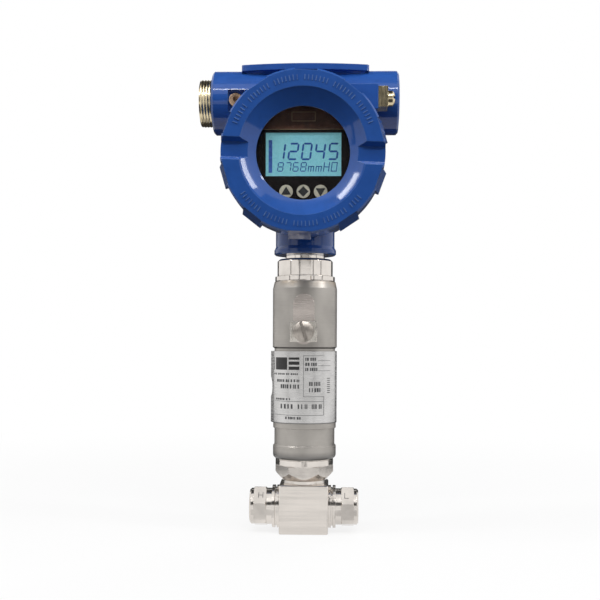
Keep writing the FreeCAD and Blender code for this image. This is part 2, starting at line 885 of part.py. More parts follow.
# ---------------------------------------------------------------- housing
def build_top_pad():
    """The pad on top: a plate with bowed long edges on a root that flares up to it."""
    half = s.top_pad_length / 2
    deep = s.top_pad_depth / 2
    corner = s.top_pad_corner
    chord = half - corner
    rise = s.top_pad_bow
    bow = (chord * chord + rise * rise) / (rise * 2)
    body = doc.addObject("PartDesign::Body", "top_pad")
    points = [
        (-chord, -deep, corner),
        (chord, -deep, bow),
        (half, corner - deep, corner),
        (half, deep - corner),
        (chord, deep, corner),
        (-chord, deep, bow),
        (-half, deep - corner, corner),
        (-half, corner - deep),
    ]
    sketch = outline(body, "top_pad_outline", "XY_Plane", points)
    extruded(body, "top_pad_plate", sketch, s.top_pad_top - s.top_pad_bottom, "Pad", False)
    place(body, 0, 0, s.top_pad_bottom)
    root = doc.addObject("Part::Wedge", "top_pad_root")
    # The wedge grows along its own Y axis, which is turned to point upwards.
    for name, size in (
        ("Xmin", -s.top_pad_root_length / 2),
        ("Xmax", s.top_pad_root_length / 2),
        ("Zmin", -s.top_pad_root_depth / 2),
        ("Zmax", s.top_pad_root_depth / 2),
        ("X2min", 1 - half),
        ("X2max", half - 1),
        ("Z2min", 1 - deep),
        ("Z2max", deep - 1),
        ("Ymin", s.top_pad_root * 0),
        ("Ymax", s.top_pad_bottom - s.top_pad_root),
    ):
        drive(root, name, size)
    place(root, 0, 0, s.top_pad_root, FRONT)
    return [body, root]


def build_drum():
    """The round casting: a thick band at the mouth, a slimmer body and a rounded back."""
    points = [
        (0, 0),
        (s.drum_radius, 0),
        (s.drum_radius, s.drum_band),
        (s.drum_body_radius, s.drum_band + s.drum_step),
        *rounded(s.drum_body_radius, s.drum_depth, s.drum_corner, 1),
        (0, s.drum_depth),
    ]
    return place(turned("drum", points), 0, -s.drum_front_depth, s.drum_height, BACK)


def build_cross_tube():
    """The tube across the top that holds both conduit entries."""
    wide = s.conduit_half_length
    tube = cylinder("cross_tube", s.conduit_radius, wide * 2, -wide, 0, s.conduit_height, RIGHT)
    edged = doc.addObject("Part::Chamfer", "cross_tube_edged")
    edged.Base = tube
    doc.recompute()
    edge = float(s.conduit_edge)
    rims = [n + 1 for n, rim in enumerate(tube.Shape.Edges) if isinstance(rim.Curve, Part.Circle)]
    edged.Edges = [(number, edge, edge) for number in rims]
    return edged


def build_neck():
    """The round neck under the drum, with a slightly wider foot."""
    low = s.neck_foot_bottom
    edge = s.neck_foot_edge
    foot = turned(
        "neck_foot",
        [
            (0, low),
            (s.neck_foot_radius - edge, low),
            (s.neck_foot_radius, low + edge),
            (s.neck_foot_radius, s.neck_foot_top - s.neck_foot_slope),
            (s.neck_radius, s.neck_foot_top),
            (0, s.neck_foot_top),
        ],
    )
    return [cylinder("neck", s.neck_radius, s.drum_height - low, 0, 0, low), foot]


def build_housing():
    """One casting: drum, cross tube with both conduit entries, top pad, boss and neck."""
    deep = s.drum_front_depth
    wide = s.conduit_half_length
    axis = s.drum_height
    entry = s.entry_depth
    level = s.conduit_height
    boss = box(
        "ground_boss",
        (s.boss_left, s.boss_front, s.boss_bottom),
        (s.boss_right, s.boss_front + s.boss_depth, s.boss_top),
    )
    casting = fuse("casting", build_drum(), build_cross_tube(), boss, *build_neck(), *build_top_pad())

    cavity_depth = s.cavity_back + deep
    neck_reach = s.neck_bore_top - s.neck_foot_bottom
    tools = [
        cylinder("cover_thread", s.thread_radius, s.thread_depth + 1, 0, s.thread_depth - deep, axis, FRONT),
        cylinder("cavity", s.cavity_radius, cavity_depth + 1, 0, s.cavity_back, axis, FRONT),
        cylinder("wire_way", s.wire_way_radius, wide * 2, -wide, 0, level, RIGHT),
        cylinder("left_entry", s.conduit_bore, entry + 1, entry - wide, 0, level, LEFT),
        cylinder("right_entry", s.conduit_bore, entry + 1, wide - entry, 0, level, RIGHT),
        cylinder("neck_thread", s.neck_bore, neck_reach + 1, 0, 0, s.neck_foot_bottom - 1),
        cylinder("neck_way", s.neck_passage, s.neck_passage * 2, 0, 0, s.neck_bore_top - 1),
        box(
            "lock_recess",
            (s.recess_left, -s.conduit_radius - 1, s.recess_bottom),
            (s.recess_right, s.recess_floor, s.recess_top),
        ),
        cylinder(
            "lock_hole",
            s.lock_shank_radius,
            s.lock_shank_length + 1,
            s.lock_screw_x,
            s.recess_floor + s.lock_shank_length,
            s.lock_screw_height,
            FRONT,
        ),
        cylinder(
            "boss_hole",
            s.ground_shank_radius,
            s.boss_shank_length + 1,
            s.boss_right - s.boss_shank_length + s.boss_clamp_thickness,
            s.boss_screw_y,
            s.boss_screw_height,
            RIGHT,
        ),
    ]
    bite = s.module_screw_bite
    radius = s.module_screw_radius
    for number, (x, z) in enumerate(circle_points(s.module_screw_circle, MODULE_SCREW_ANGLES)):
        name = f"module_tap_{number}"
        tools.append(cylinder(name, radius, bite + 1, x, s.cavity_back + bite, axis + z, FRONT))
    keep(cut("housing", casting, *tools), "housing")


def circle_points(radius, angles):
    """Points round a circle, as driven offsets across and up."""
    return [
        (radius * round(math.cos(math.radians(a)), 6), radius * round(math.sin(math.radians(a)), 6))
        for a in angles
    ]


SCREW_DOME = 0.4
GROUND_SLOT_TURN = 18
LOWER_RING_SLANT = 25
MODULE_SCREW_ANGLES = (30, 150, 270)
STANDOFF_ANGLES = (0, 180, 240, 300)


def build_conduit_adapter():
    """Threaded adapter in the left entry: a spigot inside, a wide thread outside."""
    edge = s.cover_edge
    length = s.conduit_adapter_length
    radius = s.conduit_adapter_radius
    body = turned(
        "conduit_adapter",
        [
            (s.conduit_adapter_bore, -s.conduit_adapter_spigot),
            (s.conduit_bore, -s.conduit_adapter_spigot),
            (s.conduit_bore, 0),
            (radius, 0),
            (radius, length - edge),
            (radius - edge, length),
            (s.conduit_adapter_bore, length),
        ],
    )
    keep(place(body, -s.conduit_half_length, 0, s.conduit_height, LEFT), "conduit_adapter")


def build_lock_screw():
    """Socket screw that locks the front cover."""
    edge = s.lock_head_height / 8
    body = turned(
        "cover_lock_screw",
        [
            (0, -s.lock_shank_length),
            (s.lock_shank_radius, -s.lock_shank_length),
            (s.lock_shank_radius, 0),
            (s.lock_head_radius, 0),
            (s.lock_head_radius, s.lock_head_height - edge),
            (s.lock_head_radius - edge, s.lock_head_height),
            (0, s.lock_head_height),
        ],
    )
    corner = s.socket_flats / 2 * (1 / math.cos(math.radians(30)))
    corners = circle_points(corner, range(0, 360, 60))
    socket = outline(body, "socket_outline", "XY_Plane", corners)
    socket.AttachmentOffset = Placement(Vector(0, 0, float(s.lock_head_height)), UP)
    socket.setExpression(".AttachmentOffset.Base.z", s.lock_head_height.text)
    extruded(body, "socket", socket, s.socket_depth, "Pocket", False)
    place(body, s.lock_screw_x, s.recess_floor, s.lock_screw_height, FRONT)
    keep(body, "cover_lock_screw")


def build_housing_ground():
    """Square clamp and slotted screw on the right-hand boss."""
    half = s.boss_clamp_side / 2
    y = s.boss_screw_y
    z = s.boss_screw_height
    right = s.boss_right + s.boss_clamp_thickness
    block = box("boss_clamp_block", (s.boss_right, y - half, z - half), (right, y + half, z + half))
    length = s.boss_clamp_thickness + 2
    hole = cylinder("boss_clamp_hole", s.ground_shank_radius, length, s.boss_right - 1, y, z, RIGHT)
    keep(cut("housing_ground_clamp", block, hole), "housing_ground_clamp")
    screw = slotted_screw(
        "housing_ground_screw",
        s.boss_head_radius,
        s.boss_head_height,
        s.ground_shank_radius,
        s.boss_shank_length,
    )
    keep(place(screw, right, y, z, RIGHT), "housing_ground_screw")


# ---------------------------------------------------------------- covers
def add_lugs(body, flange):
    """Ramped wrench lugs round the rim, with the rim notched in front of each."""
    slope = (s.lug_radius - s.lug_start_radius) / s.lug_ramp_end
    meet = flange - (s.cover_radius - s.lug_start_radius) / slope
    # The notch runs on past the place where the ramp leaves the rim, and the lug starts
    # before it, so that the two share one plane and leave no sliver.
    notch_end = meet - LUG_LAP
    lug_start = meet + 3 * LUG_LAP
    top = flange + OVERRUN
    start = s.lug_start_radius - slope * OVERRUN
    beyond = s.lug_radius + 1
    notch_points = [
        (start, top),
        (beyond, top),
        (beyond, notch_end),
        (s.cover_radius + slope * LUG_LAP, notch_end),
    ]
    notch_outline = outline(body, "cover_notch_outline", "YZ_Plane", notch_points)
    notch = extruded(body, "cover_notch", notch_outline, s.lug_width, "Pocket")
    inside = s.cover_radius - 2
    lug_points = [
        (inside, lug_start),
        (s.cover_radius - slope * (3 * LUG_LAP), lug_start),
        (s.lug_radius, flange - s.lug_ramp_end),
        (s.lug_radius, s.lug_back),
        (inside, s.lug_back),
    ]
    lug_outline = outline(body, "cover_lug_outline", "YZ_Plane", lug_points)
    lug = extruded(body, "cover_lug", lug_outline, s.lug_width)
    polar(body, "cover_lugs", [notch, lug], s.lug_count)


def add_wrench_slots(body, flange):
    """One sloped-sided slot milled across the whole face, seen at both sides of it."""
    half = s.wrench_slot_width / 2
    floor_half = s.wrench_slot_floor / 2
    floor = flange - s.wrench_slot_depth
    top = flange + OVERRUN
    points = [(-floor_half, floor), (floor_half, floor), (half, top), (-half, top)]
    sketch = outline(body, "cover_slot_outline", "YZ_Plane", points)
    extruded(body, "cover_slot", sketch, s.lug_radius * 3, "Pocket")


def cover_outside():
    """The cover's outline from the spigot's inner end round to the front edge."""
    inner = s.seal_ring_radius - s.seal_groove_half
    outer = s.seal_ring_radius + s.seal_groove_half
    edge = s.cover_edge
    return [
        (s.cover_spigot_bore, -s.cover_spigot_length),
        (s.cover_thread_radius - edge, -s.cover_spigot_length),
        (s.cover_thread_radius, edge - s.cover_spigot_length),
        (s.cover_thread_radius, 0),
        (inner, 0),
        (inner, s.seal_groove_depth),
        (outer, s.seal_groove_depth),
        (outer, 0),
        (s.cover_radius, 0),
        (s.cover_radius, s.front_flange - edge),
        (s.cover_radius - edge, s.front_flange),
    ]


def build_front_cover():
    """Screwed cover with a funnel round the window and a seat for the glass behind it."""
    flange = s.front_flange
    edge = s.cover_edge
    seat = s.glass_seat
    glass_back = seat - s.gasket_thickness - s.glass_thickness
    retainer_back = glass_back - s.retainer_thickness
    glass_seat_radius = s.glass_radius + s.glass_clearance
    retainer_seat_radius = s.retainer_radius + s.retainer_clearance
    rim = (s.funnel_radius, flange - edge)
    lip = (s.window_radius + edge, s.window_lip)
    face = [
        (s.funnel_radius + edge, flange),
        rim,
        (*lip, -dish_radius(rim, lip)),
        (s.window_radius, s.window_lip - edge / 2),
        (s.window_radius, seat),
        (glass_seat_radius, seat),
        (glass_seat_radius, glass_back),
        (retainer_seat_radius, glass_back),
        (retainer_seat_radius, retainer_back),
        (s.cover_spigot_bore, retainer_back),
    ]
    body = turned("front_cover", cover_outside() + face)
    add_lugs(body, flange)
    add_wrench_slots(body, flange)
    own_turn = Rotation(Vector(0, 0, 1), float(s.cover_turn))
    seat_y = -s.drum_front_depth - s.cover_gap
    place(body, 0, seat_y, s.drum_height, FRONT.multiply(own_turn))
    keep(body, "front_cover")

    gasket_bore = s.window_radius + s.gasket_margin
    for label, inner, outer, bottom, top in (
        ("window_gasket", gasket_bore, s.glass_radius, seat - s.gasket_thickness, seat),
        ("window_retainer", s.retainer_bore, s.retainer_radius, retainer_back, glass_back),
    ):
        keep(place(ring(label, inner, outer, bottom, top), 0, seat_y, s.drum_height, FRONT), label)
    glass_y = seat_y - glass_back
    glass = cylinder("window_glass", s.glass_radius, s.glass_thickness, 0, glass_y, s.drum_height, FRONT)
    keep(glass, "window_glass")


def build_cover_seal():
    """A ring of octagonal section in the cover's groove."""
    half = s.seal_section_radius
    flat = half * round(math.tan(math.radians(22.5)), 6)
    middle = s.seal_ring_radius
    low = -s.cover_gap / 2
    centre = low + half
    section = [
        (middle - flat, low),
        (middle + flat, low),
        (middle + half, centre - flat),
        (middle + half, centre + flat),
        (middle + flat, low + half * 2),
        (middle - flat, low + half * 2),
        (middle - half, centre + flat),
        (middle - half, centre - flat),
    ]
    seal = turned("front_cover_seal", section)
    y = -s.drum_front_depth - s.cover_gap
    keep(place(seal, 0, y, s.drum_height, FRONT), "front_cover_seal")


# ---------------------------------------------------------------- display
def build_display():
    """Faceplate with a rim behind it, display panel, board, and four standoffs."""
    axis = s.drum_height
    front = s.faceplate_front
    back = front + s.faceplate_thickness
    board_front = s.display_board_front
    radius = s.faceplate_radius
    middle = axis + s.screen_rise
    wide = s.screen_width / 2
    tall = s.screen_height / 2
    plate = cylinder("faceplate_blank", radius, board_front - front, 0, board_front, axis, FRONT)
    hollow_radius = radius - s.faceplate_rim
    hollow_depth = board_front - back
    hollow = cylinder("faceplate_hollow", hollow_radius, hollow_depth + 1, 0, board_front + 1, axis, FRONT)
    screen = box("screen_opening", (-wide, front - 1, middle - tall), (wide, back + 1, middle + tall))
    through = s.faceplate_thickness + 2
    holes = [
        cylinder(f"key_hole_{n}", s.key_hole_radius, through, x, back + 1, axis - s.key_drop, FRONT)
        for n, x in enumerate(key_places())
    ]
    keep(cut("display_faceplate", plate, hollow, screen, *holes), "display_faceplate")

    margin = s.panel_margin
    low = (-wide - margin, board_front - s.panel_thickness, middle - tall - margin)
    high = (wide + margin, board_front, middle + tall + margin)
    keep(box("lcd_panel", low, high), "lcd_panel")

    thick = s.display_board_thickness
    board_back = board_front + thick
    board = cylinder("display_board", s.display_board_radius, thick, 0, board_back, axis, FRONT)
    keep(board, "display_board")
    reach = s.module_front - board_back
    posts = [
        cylinder(f"standoff_{n}", s.standoff_radius, reach, x, s.module_front, axis + z, FRONT)
        for n, (x, z) in enumerate(circle_points(s.standoff_circle, STANDOFF_ANGLES))
    ]
    keep(group("display_standoffs", posts), "display_standoffs")


def key_places():
    return (-s.key_spacing, s.key_spacing * 0, s.key_spacing)


def build_keys():
    """Three sprung round keys, each over its own switch on the board."""
    axis = s.drum_height
    plate_back = -s.faceplate_thickness
    flange = plate_back - s.key_flange_gap
    flange_back = flange - s.key_flange_thickness
    switch_top = s.faceplate_front - s.display_board_front + s.switch_height
    stem_end = switch_top + s.key_travel_gap
    side = s.switch_side / 2
    switches = []
    for label, x in zip(("span_key", "mode_key", "zero_key"), key_places()):
        body = turned(
            label,
            [
                (0, stem_end),
                (s.key_stem_radius, stem_end),
                (s.key_stem_radius, flange_back),
                (s.key_flange_radius, flange_back),
                (s.key_flange_radius, flange),
                (s.key_radius, flange),
                (s.key_radius, s.key_proud),
                (0, s.key_proud),
            ],
        )
        keep(place(body, x, s.faceplate_front, axis - s.key_drop, FRONT), label)
        low = (x - side, s.display_board_front - s.switch_height, axis - s.key_drop - side)
        high = (x + side, s.display_board_front, axis - s.key_drop + side)
        switches.append(box(f"{label}_switch", low, high))
    keep(group("key_switches", switches), "key_switches")


# ---------------------------------------------------------------- electronics
def build_electronics():
    """Potted module on the back wall, flat on top where the field wires come down."""
    axis = s.drum_height
    radius = s.module_radius
    front = s.module_front
    back = s.cavity_back
    thick = back - front
    blank = cylinder("module_blank", radius, thick, 0, back, axis, FRONT)
    level = axis + s.module_flat
    flat = box("module_top", (-radius, front - 1, level), (radius, back + 1, level + radius))
    half = s.lead_slot_length / 2
    side = s.lead_slot_width / 2
    floor = axis - radius
    slot = box("lead_slot", (-half, -side, floor - 1), (half, side, floor + s.lead_slot_depth))
    screws = []
    tools = [flat, slot]
    sink = front + s.module_screw_sink
    reach = back + s.module_screw_bite
    shank = s.module_screw_radius
    for number, (x, z) in enumerate(circle_points(s.module_screw_circle, MODULE_SCREW_ANGLES)):
        up = axis + z
        wide = s.module_screw_head + s.module_head_room
        tools.append(cylinder(f"module_sink_{number}", wide, s.module_screw_sink + 1, x, sink, up, FRONT))
        tools.append(cylinder(f"module_way_{number}", shank, thick + 2, x, back + 1, up, FRONT))
        head_size = s.module_screw_head
        head = cylinder(f"module_head_{number}", head_size, s.module_head_height, x, sink, up, FRONT)
        stem = cylinder(f"module_shank_{number}", shank, reach - sink, x, reach, up, FRONT)
        screws.append(fuse(f"module_screw_{number}", head, stem))
    keep(cut("electronics_module", blank, *tools), "electronics_module")
    keep(group("module_screws", screws), "module_screws")


def build_terminals():
    """Terminal block on the module's front: a bar with barriers and three clamp screws."""
    axis = s.drum_height
    front = s.terminal_front
    long = s.terminal_length / 2
    tall = s.terminal_height / 2
    pieces = [box("terminal_bar", (-long, front, axis - tall), (long, s.module_front, axis + tall))]
    half = s.barrier_thickness / 2
    for number, step in enumerate((-1.5, -0.5, 0.5, 1.5)):
        x = s.terminal_screw_spacing * step
        low = (x - half, front - s.barrier_height, axis - tall)
        pieces.append(box(f"barrier_{number}", low, (x + half, front, axis + tall)))
    shank = s.terminal_shank_radius
    long_shank = s.terminal_shank_length
    screws = []
    taps = []
    for number, step in enumerate((-1, 0, 1)):
        x = s.terminal_screw_spacing * step
        end = front + long_shank
        taps.append(cylinder(f"terminal_tap_{number}", shank, long_shank + 1, x, end, axis, FRONT))
        name = f"terminal_screw_{number}"
        screw = slotted_screw(name, s.terminal_screw_head, s.terminal_screw_height, shank, long_shank)
        screws.append(place(screw, x, front, axis, FRONT))
    keep(cut("terminal_block", fuse("terminal_blank", *pieces), *taps), "terminal_block")
    keep(group("terminal_screws", screws), "terminal_screws")


# ---------------------------------------------------------------- the whole part
def build_all():
    face = s.block_side / 2
    gasket_face = s.cell_thickness / 2
    build_process_block()
    build_port_adapter("high_port_adapter", LEFT, -face)
    build_port_adapter("low_port_adapter", RIGHT, face)
    build_port_seal("high_port_seal", LEFT, -gasket_face)
    build_port_seal("low_port_seal", RIGHT, gasket_face)
    build_cell()
    build_sensor_base()
    build_header()
    build_split_ring(
        "lower_split_ring", s.base_neck_radius, s.lower_ring_radius,
        s.lower_ring_bottom, s.lower_ring_top, s.ring_gap, LOWER_RING_SLANT, s.ring_gap * 0,
    )
    build_body_tube()
    build_label_plate()
    build_upper_sleeve()
    build_ground_pad()
    build_ground_clamp()
    build_ground_screw()
    build_split_ring(
        "upper_split_ring", s.upper_ring_inner, s.upper_ring_radius,
        s.upper_ring_bottom, s.upper_ring_top, s.upper_ring_gap, 0, s.upper_ring_gap,
    )
    build_cap_and_nipple()
    build_signal_board()
    build_housing()
    build_conduit_adapter()
    build_lock_screw()
    build_housing_ground()
    build_front_cover()
    build_cover_seal()
    build_display()
    build_keys()
    build_electronics()
    build_terminals()


def check_all():
    """Stop before writing if any object failed or any sub-part isn't a sound solid."""
    for item in doc.Objects:
        if "Invalid" in item.State or "Error" in item.State:
            raise RuntimeError(f"{item.Name} did not build: {item.State}")
    for item in nodes:
        shape = item.Shape
        if shape.isNull() or not shape.isValid() or not shape.Solids:
            raise RuntimeError(f"{item.Label} is not a sound solid")


def export_all():
    os.makedirs("parts", exist_ok=True)
    for item in nodes:
        item.Shape.exportStep(f"parts/{item.Label}.step")
        print(item.Label, len(item.Shape.Solids), round(item.Shape.Volume, 1))


build_all()
doc.recompute()
check_all()
export_all()
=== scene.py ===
"""Dresses the pressure transmitter: finishes, print, threads, studio light and camera."""

import json
import math
import random

import bpy
from mathutils import Matrix, Vector


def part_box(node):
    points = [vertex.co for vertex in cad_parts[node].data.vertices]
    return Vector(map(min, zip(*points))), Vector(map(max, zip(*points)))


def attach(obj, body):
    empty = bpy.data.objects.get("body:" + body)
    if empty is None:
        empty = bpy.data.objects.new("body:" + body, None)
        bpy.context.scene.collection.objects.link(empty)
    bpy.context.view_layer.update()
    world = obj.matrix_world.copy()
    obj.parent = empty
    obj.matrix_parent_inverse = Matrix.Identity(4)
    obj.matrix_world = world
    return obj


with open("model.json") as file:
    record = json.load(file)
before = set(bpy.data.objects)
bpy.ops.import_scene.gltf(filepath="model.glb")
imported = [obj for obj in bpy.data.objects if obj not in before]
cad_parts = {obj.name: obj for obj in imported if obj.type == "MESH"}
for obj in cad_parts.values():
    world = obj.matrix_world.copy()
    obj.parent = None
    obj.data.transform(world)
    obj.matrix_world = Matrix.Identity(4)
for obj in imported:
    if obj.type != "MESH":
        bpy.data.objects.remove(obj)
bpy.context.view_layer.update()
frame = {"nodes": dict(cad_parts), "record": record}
nodes = frame["nodes"]

MM = 0.001
ROOT = "transmitter"


# ---------------------------------------------------------------- shader nodes
def map_range(tree, source, low, high, to_low=0.0, to_high=1.0, smooth=False):
    """The source's range low to high, clamped and mapped."""
    node = tree.nodes.new("ShaderNodeMapRange")
    if smooth:
        node.interpolation_type = "SMOOTHSTEP"
    node.inputs["From Min"].default_value = low
    node.inputs["From Max"].default_value = high
    node.inputs["To Min"].default_value = to_low
    node.inputs["To Max"].default_value = to_high
    tree.links.new(source, node.inputs["Value"])
    return node.outputs["Result"]


def arithmetic(tree, operation, first, second=None):
    """One step of arithmetic on sockets or numbers."""
    node = tree.nodes.new("ShaderNodeMath")
    node.operation = operation
    for number, value in enumerate((first, second)):
        if value is None:
            continue
        if isinstance(value, (int, float)):
            node.inputs[number].default_value = value
        else:
            tree.links.new(value, node.inputs[number])
    return node.outputs["Value"]


def mix_shaders(tree, share, first, second):
    """Shows the second shader where the share is 1."""
    mix = tree.nodes.new("ShaderNodeMixShader")
    tree.links.new(share, mix.inputs["Fac"])
    tree.links.new(first, mix.inputs[1])
    tree.links.new(second, mix.inputs[2])
    tree.links.new(mix.outputs["Shader"], tree.nodes["Material Output"].inputs["Surface"])


# ---------------------------------------------------------------- finishes
BLUE = (0.018, 0.088, 0.36)
# Paler blue for the enamel's edges: wear, and a painted highlight where edges catch the light.
EDGE_BLUE_WEAR_AND_HIGHLIGHT = (0.13, 0.24, 0.50)
STEEL = (0.76, 0.71, 0.66)
BARE_THREAD = (0.56, 0.56, 0.55)
# Dark edges on the tube steel: dirt, and painted shade along its seams.
SEAM_DIRT_AND_SHADE = (0.13, 0.12, 0.11)
# Painted shade on the underside of the bead at the tube's foot.
FOOT_SHADE_GREY = (0.12, 0.12, 0.12)
# Painted shadow in the gap under the upper sleeve's lower edge.
SEAM_SHADOW_GREY = (0.05, 0.05, 0.05)
HEAT_TAN = (0.46, 0.33, 0.20)
# Dark edges on the label plate: dirt, and painted shade.
PLATE_EDGE_DIRT_AND_SHADE = (0.14, 0.14, 0.14)
# Painted shadow along the label's lower edge, where it meets the tube.
PLATE_SHADOW_GREY = (0.06, 0.06, 0.06)
# Darker screw edges, in the slot and at the rim.
SCREW_EDGE_DARK = (0.10, 0.09, 0.08)
# Painted brown reflection on the faceplate.
BROWN_REFLECTION = (0.20, 0.085, 0.052)
BOARD_TRACKS = (0.06, 0.30, 0.12)
CLEAR = (0.94, 0.96, 0.97, 1)

# Stretch of the tool marks that lie across X or across Z, as turning about it leaves them.
FINE_X = (6.0, 0.1, 0.1)
FINE_Z = (0.1, 0.1, 6.0)

# The part of a noise's range that is put to use.
NOISE_LOW, NOISE_HIGH = 0.3, 0.7
# Cosine of the turn between a surface and its bevelled self, where an edge begins and is full.
EDGE_BEGINS, EDGE_FULL = 0.97, 0.85
EDGE_SAMPLES = 4

# The cover's thread, in millimetres: its radius, how far from that the band is full and
# where it is gone, its length, how softly it ends, and its pitch.
COVER_THREAD_RADIUS = 33.02
COVER_THREAD_FULL, COVER_THREAD_OUTER = 0.08, 0.12
COVER_THREAD_LENGTH = 14.0
COVER_THREAD_FADE = 0.2
COVER_THREAD_PITCH = 2.0

# Bands on the steel, in millimetres above an edge: where each is gone and where it is full.
# The foot band is painted shade under the bead.
FOOT_SHADE_BAND = (4.5, 0.8)
# The seam bands hold a painted shadow under the sleeve's lower edge.
SEAM_SHADOW_BAND = (0.8, 0.3)
SEAM_SHADOW_BAND_BELOW = (-0.1, 0.0)
HEAT_BAND = (-3.5, -0.5)
# The plate band holds a painted shadow along the label's lower edge.
PLATE_SHADOW_BAND = (0.7, 0.3)
# The faceplate's painted brown reflection begins this far from the screen's top edge.
BROWN_REFLECTION_BAND = (-0.6, -0.2)


class Finish:
    """One procedural material: a Principled shader and the textures that feed it."""

    def __init__(self, name, colour, metallic=0.0, roughness=0.5):
        self.name = name
        self.material = bpy.data.materials.new(name)
        self.material.use_nodes = True
        self.tree = self.material.node_tree
        self.nodes = self.tree.nodes
        self.links = self.tree.links
        self.shader = self.nodes["Principled BSDF"]
        self.colour = colour
        self.roughness = roughness
        self.set("Base Color", (*colour, 1))
        self.set("Metallic", metallic)
        self.set("Roughness", roughness)
        self.place = self.nodes.new("ShaderNodeTexCoord").outputs["Object"]
        self.normal = None

    def set(self, socket, value):
        """A value that is the same all over the surface."""
        self.shader.inputs[socket].default_value = value

    def noise(self, size, stretch=(1, 1, 1), detail=3.0, soft=0.5):
        """Noise whose blotches are about that many millimetres across."""
        mapping = self.nodes.new("ShaderNodeMapping")
        mapping.inputs["Scale"].default_value = stretch
        texture = self.nodes.new("ShaderNodeTexNoise")
        texture.inputs["Scale"].default_value = 1 / (size * MM)
        texture.inputs["Detail"].default_value = detail
        texture.inputs["Roughness"].default_value = soft
        self.links.new(self.place, mapping.inputs["Vector"])
        self.links.new(mapping.outputs["Vector"], texture.inputs["Vector"])
        return texture.outputs["Fac"]

    def span(self, source, low, high, to_low=0.0, to_high=1.0):
        """The source's range low to high, clamped and mapped."""
        return map_range(self.tree, source, low, high, to_low, to_high)

    def band(self, edge, limits, amount=1.0):
        """How much of a band shows by height: limits are where it is gone and where full."""
        gone, full = (edge + limit * MM for limit in limits)
        return self.span(self.axis("Z"), gone, full, 0.0, amount)

    def axis(self, letter):
        """One coordinate of the surface, in metres."""
        split = self.nodes.new("ShaderNodeSeparateXYZ")
        self.links.new(self.place, split.inputs["Vector"])
        return split.outputs[letter]

    def maths(self, operation, first, second=None):
        """One step of arithmetic on sockets or numbers."""
        return arithmetic(self.tree, operation, first, second)

    def tint(self, source, other):
        """Mixes another colour in where the source is high."""
        mix = self.nodes.new("ShaderNodeMix")
        mix.data_type = "RGBA"
        colour = self.shader.inputs["Base Color"]
        if colour.is_linked:
            self.links.new(colour.links[0].from_socket, mix.inputs["A"])
        else:
            mix.inputs["A"].default_value = (*self.colour, 1)
        mix.inputs["B"].default_value = (*other, 1)
        self.links.new(source, mix.inputs["Factor"])
        self.links.new(mix.outputs["Result"], colour)
        return self

    def vary(self, source, spread):
        """Roughness varies either way about its value."""
        low = max(self.roughness - spread, 0.02)
        result = self.span(source, NOISE_LOW, NOISE_HIGH, low, self.roughness + spread)
        self.links.new(result, self.shader.inputs["Roughness"])
        return self

    def relief(self, source, height, strength=1.0):
        """A bump of that many millimetres, added to the bumps already there."""
        bump = self.nodes.new("ShaderNodeBump")
        bump.inputs["Distance"].default_value = height * MM
        bump.inputs["Strength"].default_value = strength
        self.links.new(source, bump.inputs["Height"])
        if self.normal:
            self.links.new(self.normal, bump.inputs["Normal"])
        self.normal = bump.outputs["Normal"]
        self.links.new(self.normal, self.shader.inputs["Normal"])
        return self

    def bevelled(self, radius):
        """The surface's direction as if its edges were broken by that many millimetres."""
        bevel = self.nodes.new("ShaderNodeBevel")
        bevel.samples = EDGE_SAMPLES
        bevel.inputs["Radius"].default_value = radius * MM
        return bevel.outputs["Normal"]

    def edge_tint(self, radius, colour, amount):
        """Edges, that wide in millimetres, take another colour."""
        flat = self.nodes.new("ShaderNodeNewGeometry")
        turned = self.nodes.new("ShaderNodeVectorMath")
        turned.operation = "DOT_PRODUCT"
        self.links.new(self.bevelled(radius), turned.inputs[0])
        self.links.new(flat.outputs["Normal"], turned.inputs[1])
        edge = self.span(turned.outputs["Value"], EDGE_BEGINS, EDGE_FULL, 0.0, amount)
        return self.tint(edge, colour)

    def round_edges(self, radius):
        """Edges catch the light as if broken by that many millimetres."""
        self.normal = self.bevelled(radius)
        self.links.new(self.normal, self.shader.inputs["Normal"])
        return self


def lighter(colour, factor):
    """The same colour, brighter or darker."""
    return tuple(min(channel * factor, 1.0) for channel in colour)


def metal(name, colour, roughness, grain, edge=0.25, blotch=14.0, shade=0.8, depth=0.004):
    """Bare metal: tool marks along one direction, with slow changes of tone."""
    finish = Finish(name, colour, metallic=1.0, roughness=roughness)
    finish.round_edges(edge)
    finish.tint(finish.span(finish.noise(blotch), 0.42, 0.68), lighter(colour, shade))
    marks = finish.noise(1.0, grain, detail=2.0)
    finish.vary(marks, roughness * 0.3)
    finish.relief(marks, depth, 0.5)
    finish.relief(finish.noise(0.5, detail=1.0), 0.002, 0.35)
    return finish


def plastic(name, colour, roughness, grain=0.4, height=0.008, shade=0.75):
    """Moulded plastic with a fine even texture."""
    finish = Finish(name, colour, roughness=roughness)
    finish.round_edges(0.15)
    finish.tint(finish.span(finish.noise(6.0), 0.4, 0.7), lighter(colour, shade))
    fine = finish.noise(grain, detail=2.0)
    finish.vary(fine, roughness * 0.2)
    return finish.relief(fine, height, 0.5)


def cover_centre():
    """X and Z of the cover's axis."""
    low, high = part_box("window_glass")
    return (low.x + high.x) / 2, (low.z + high.z) / 2


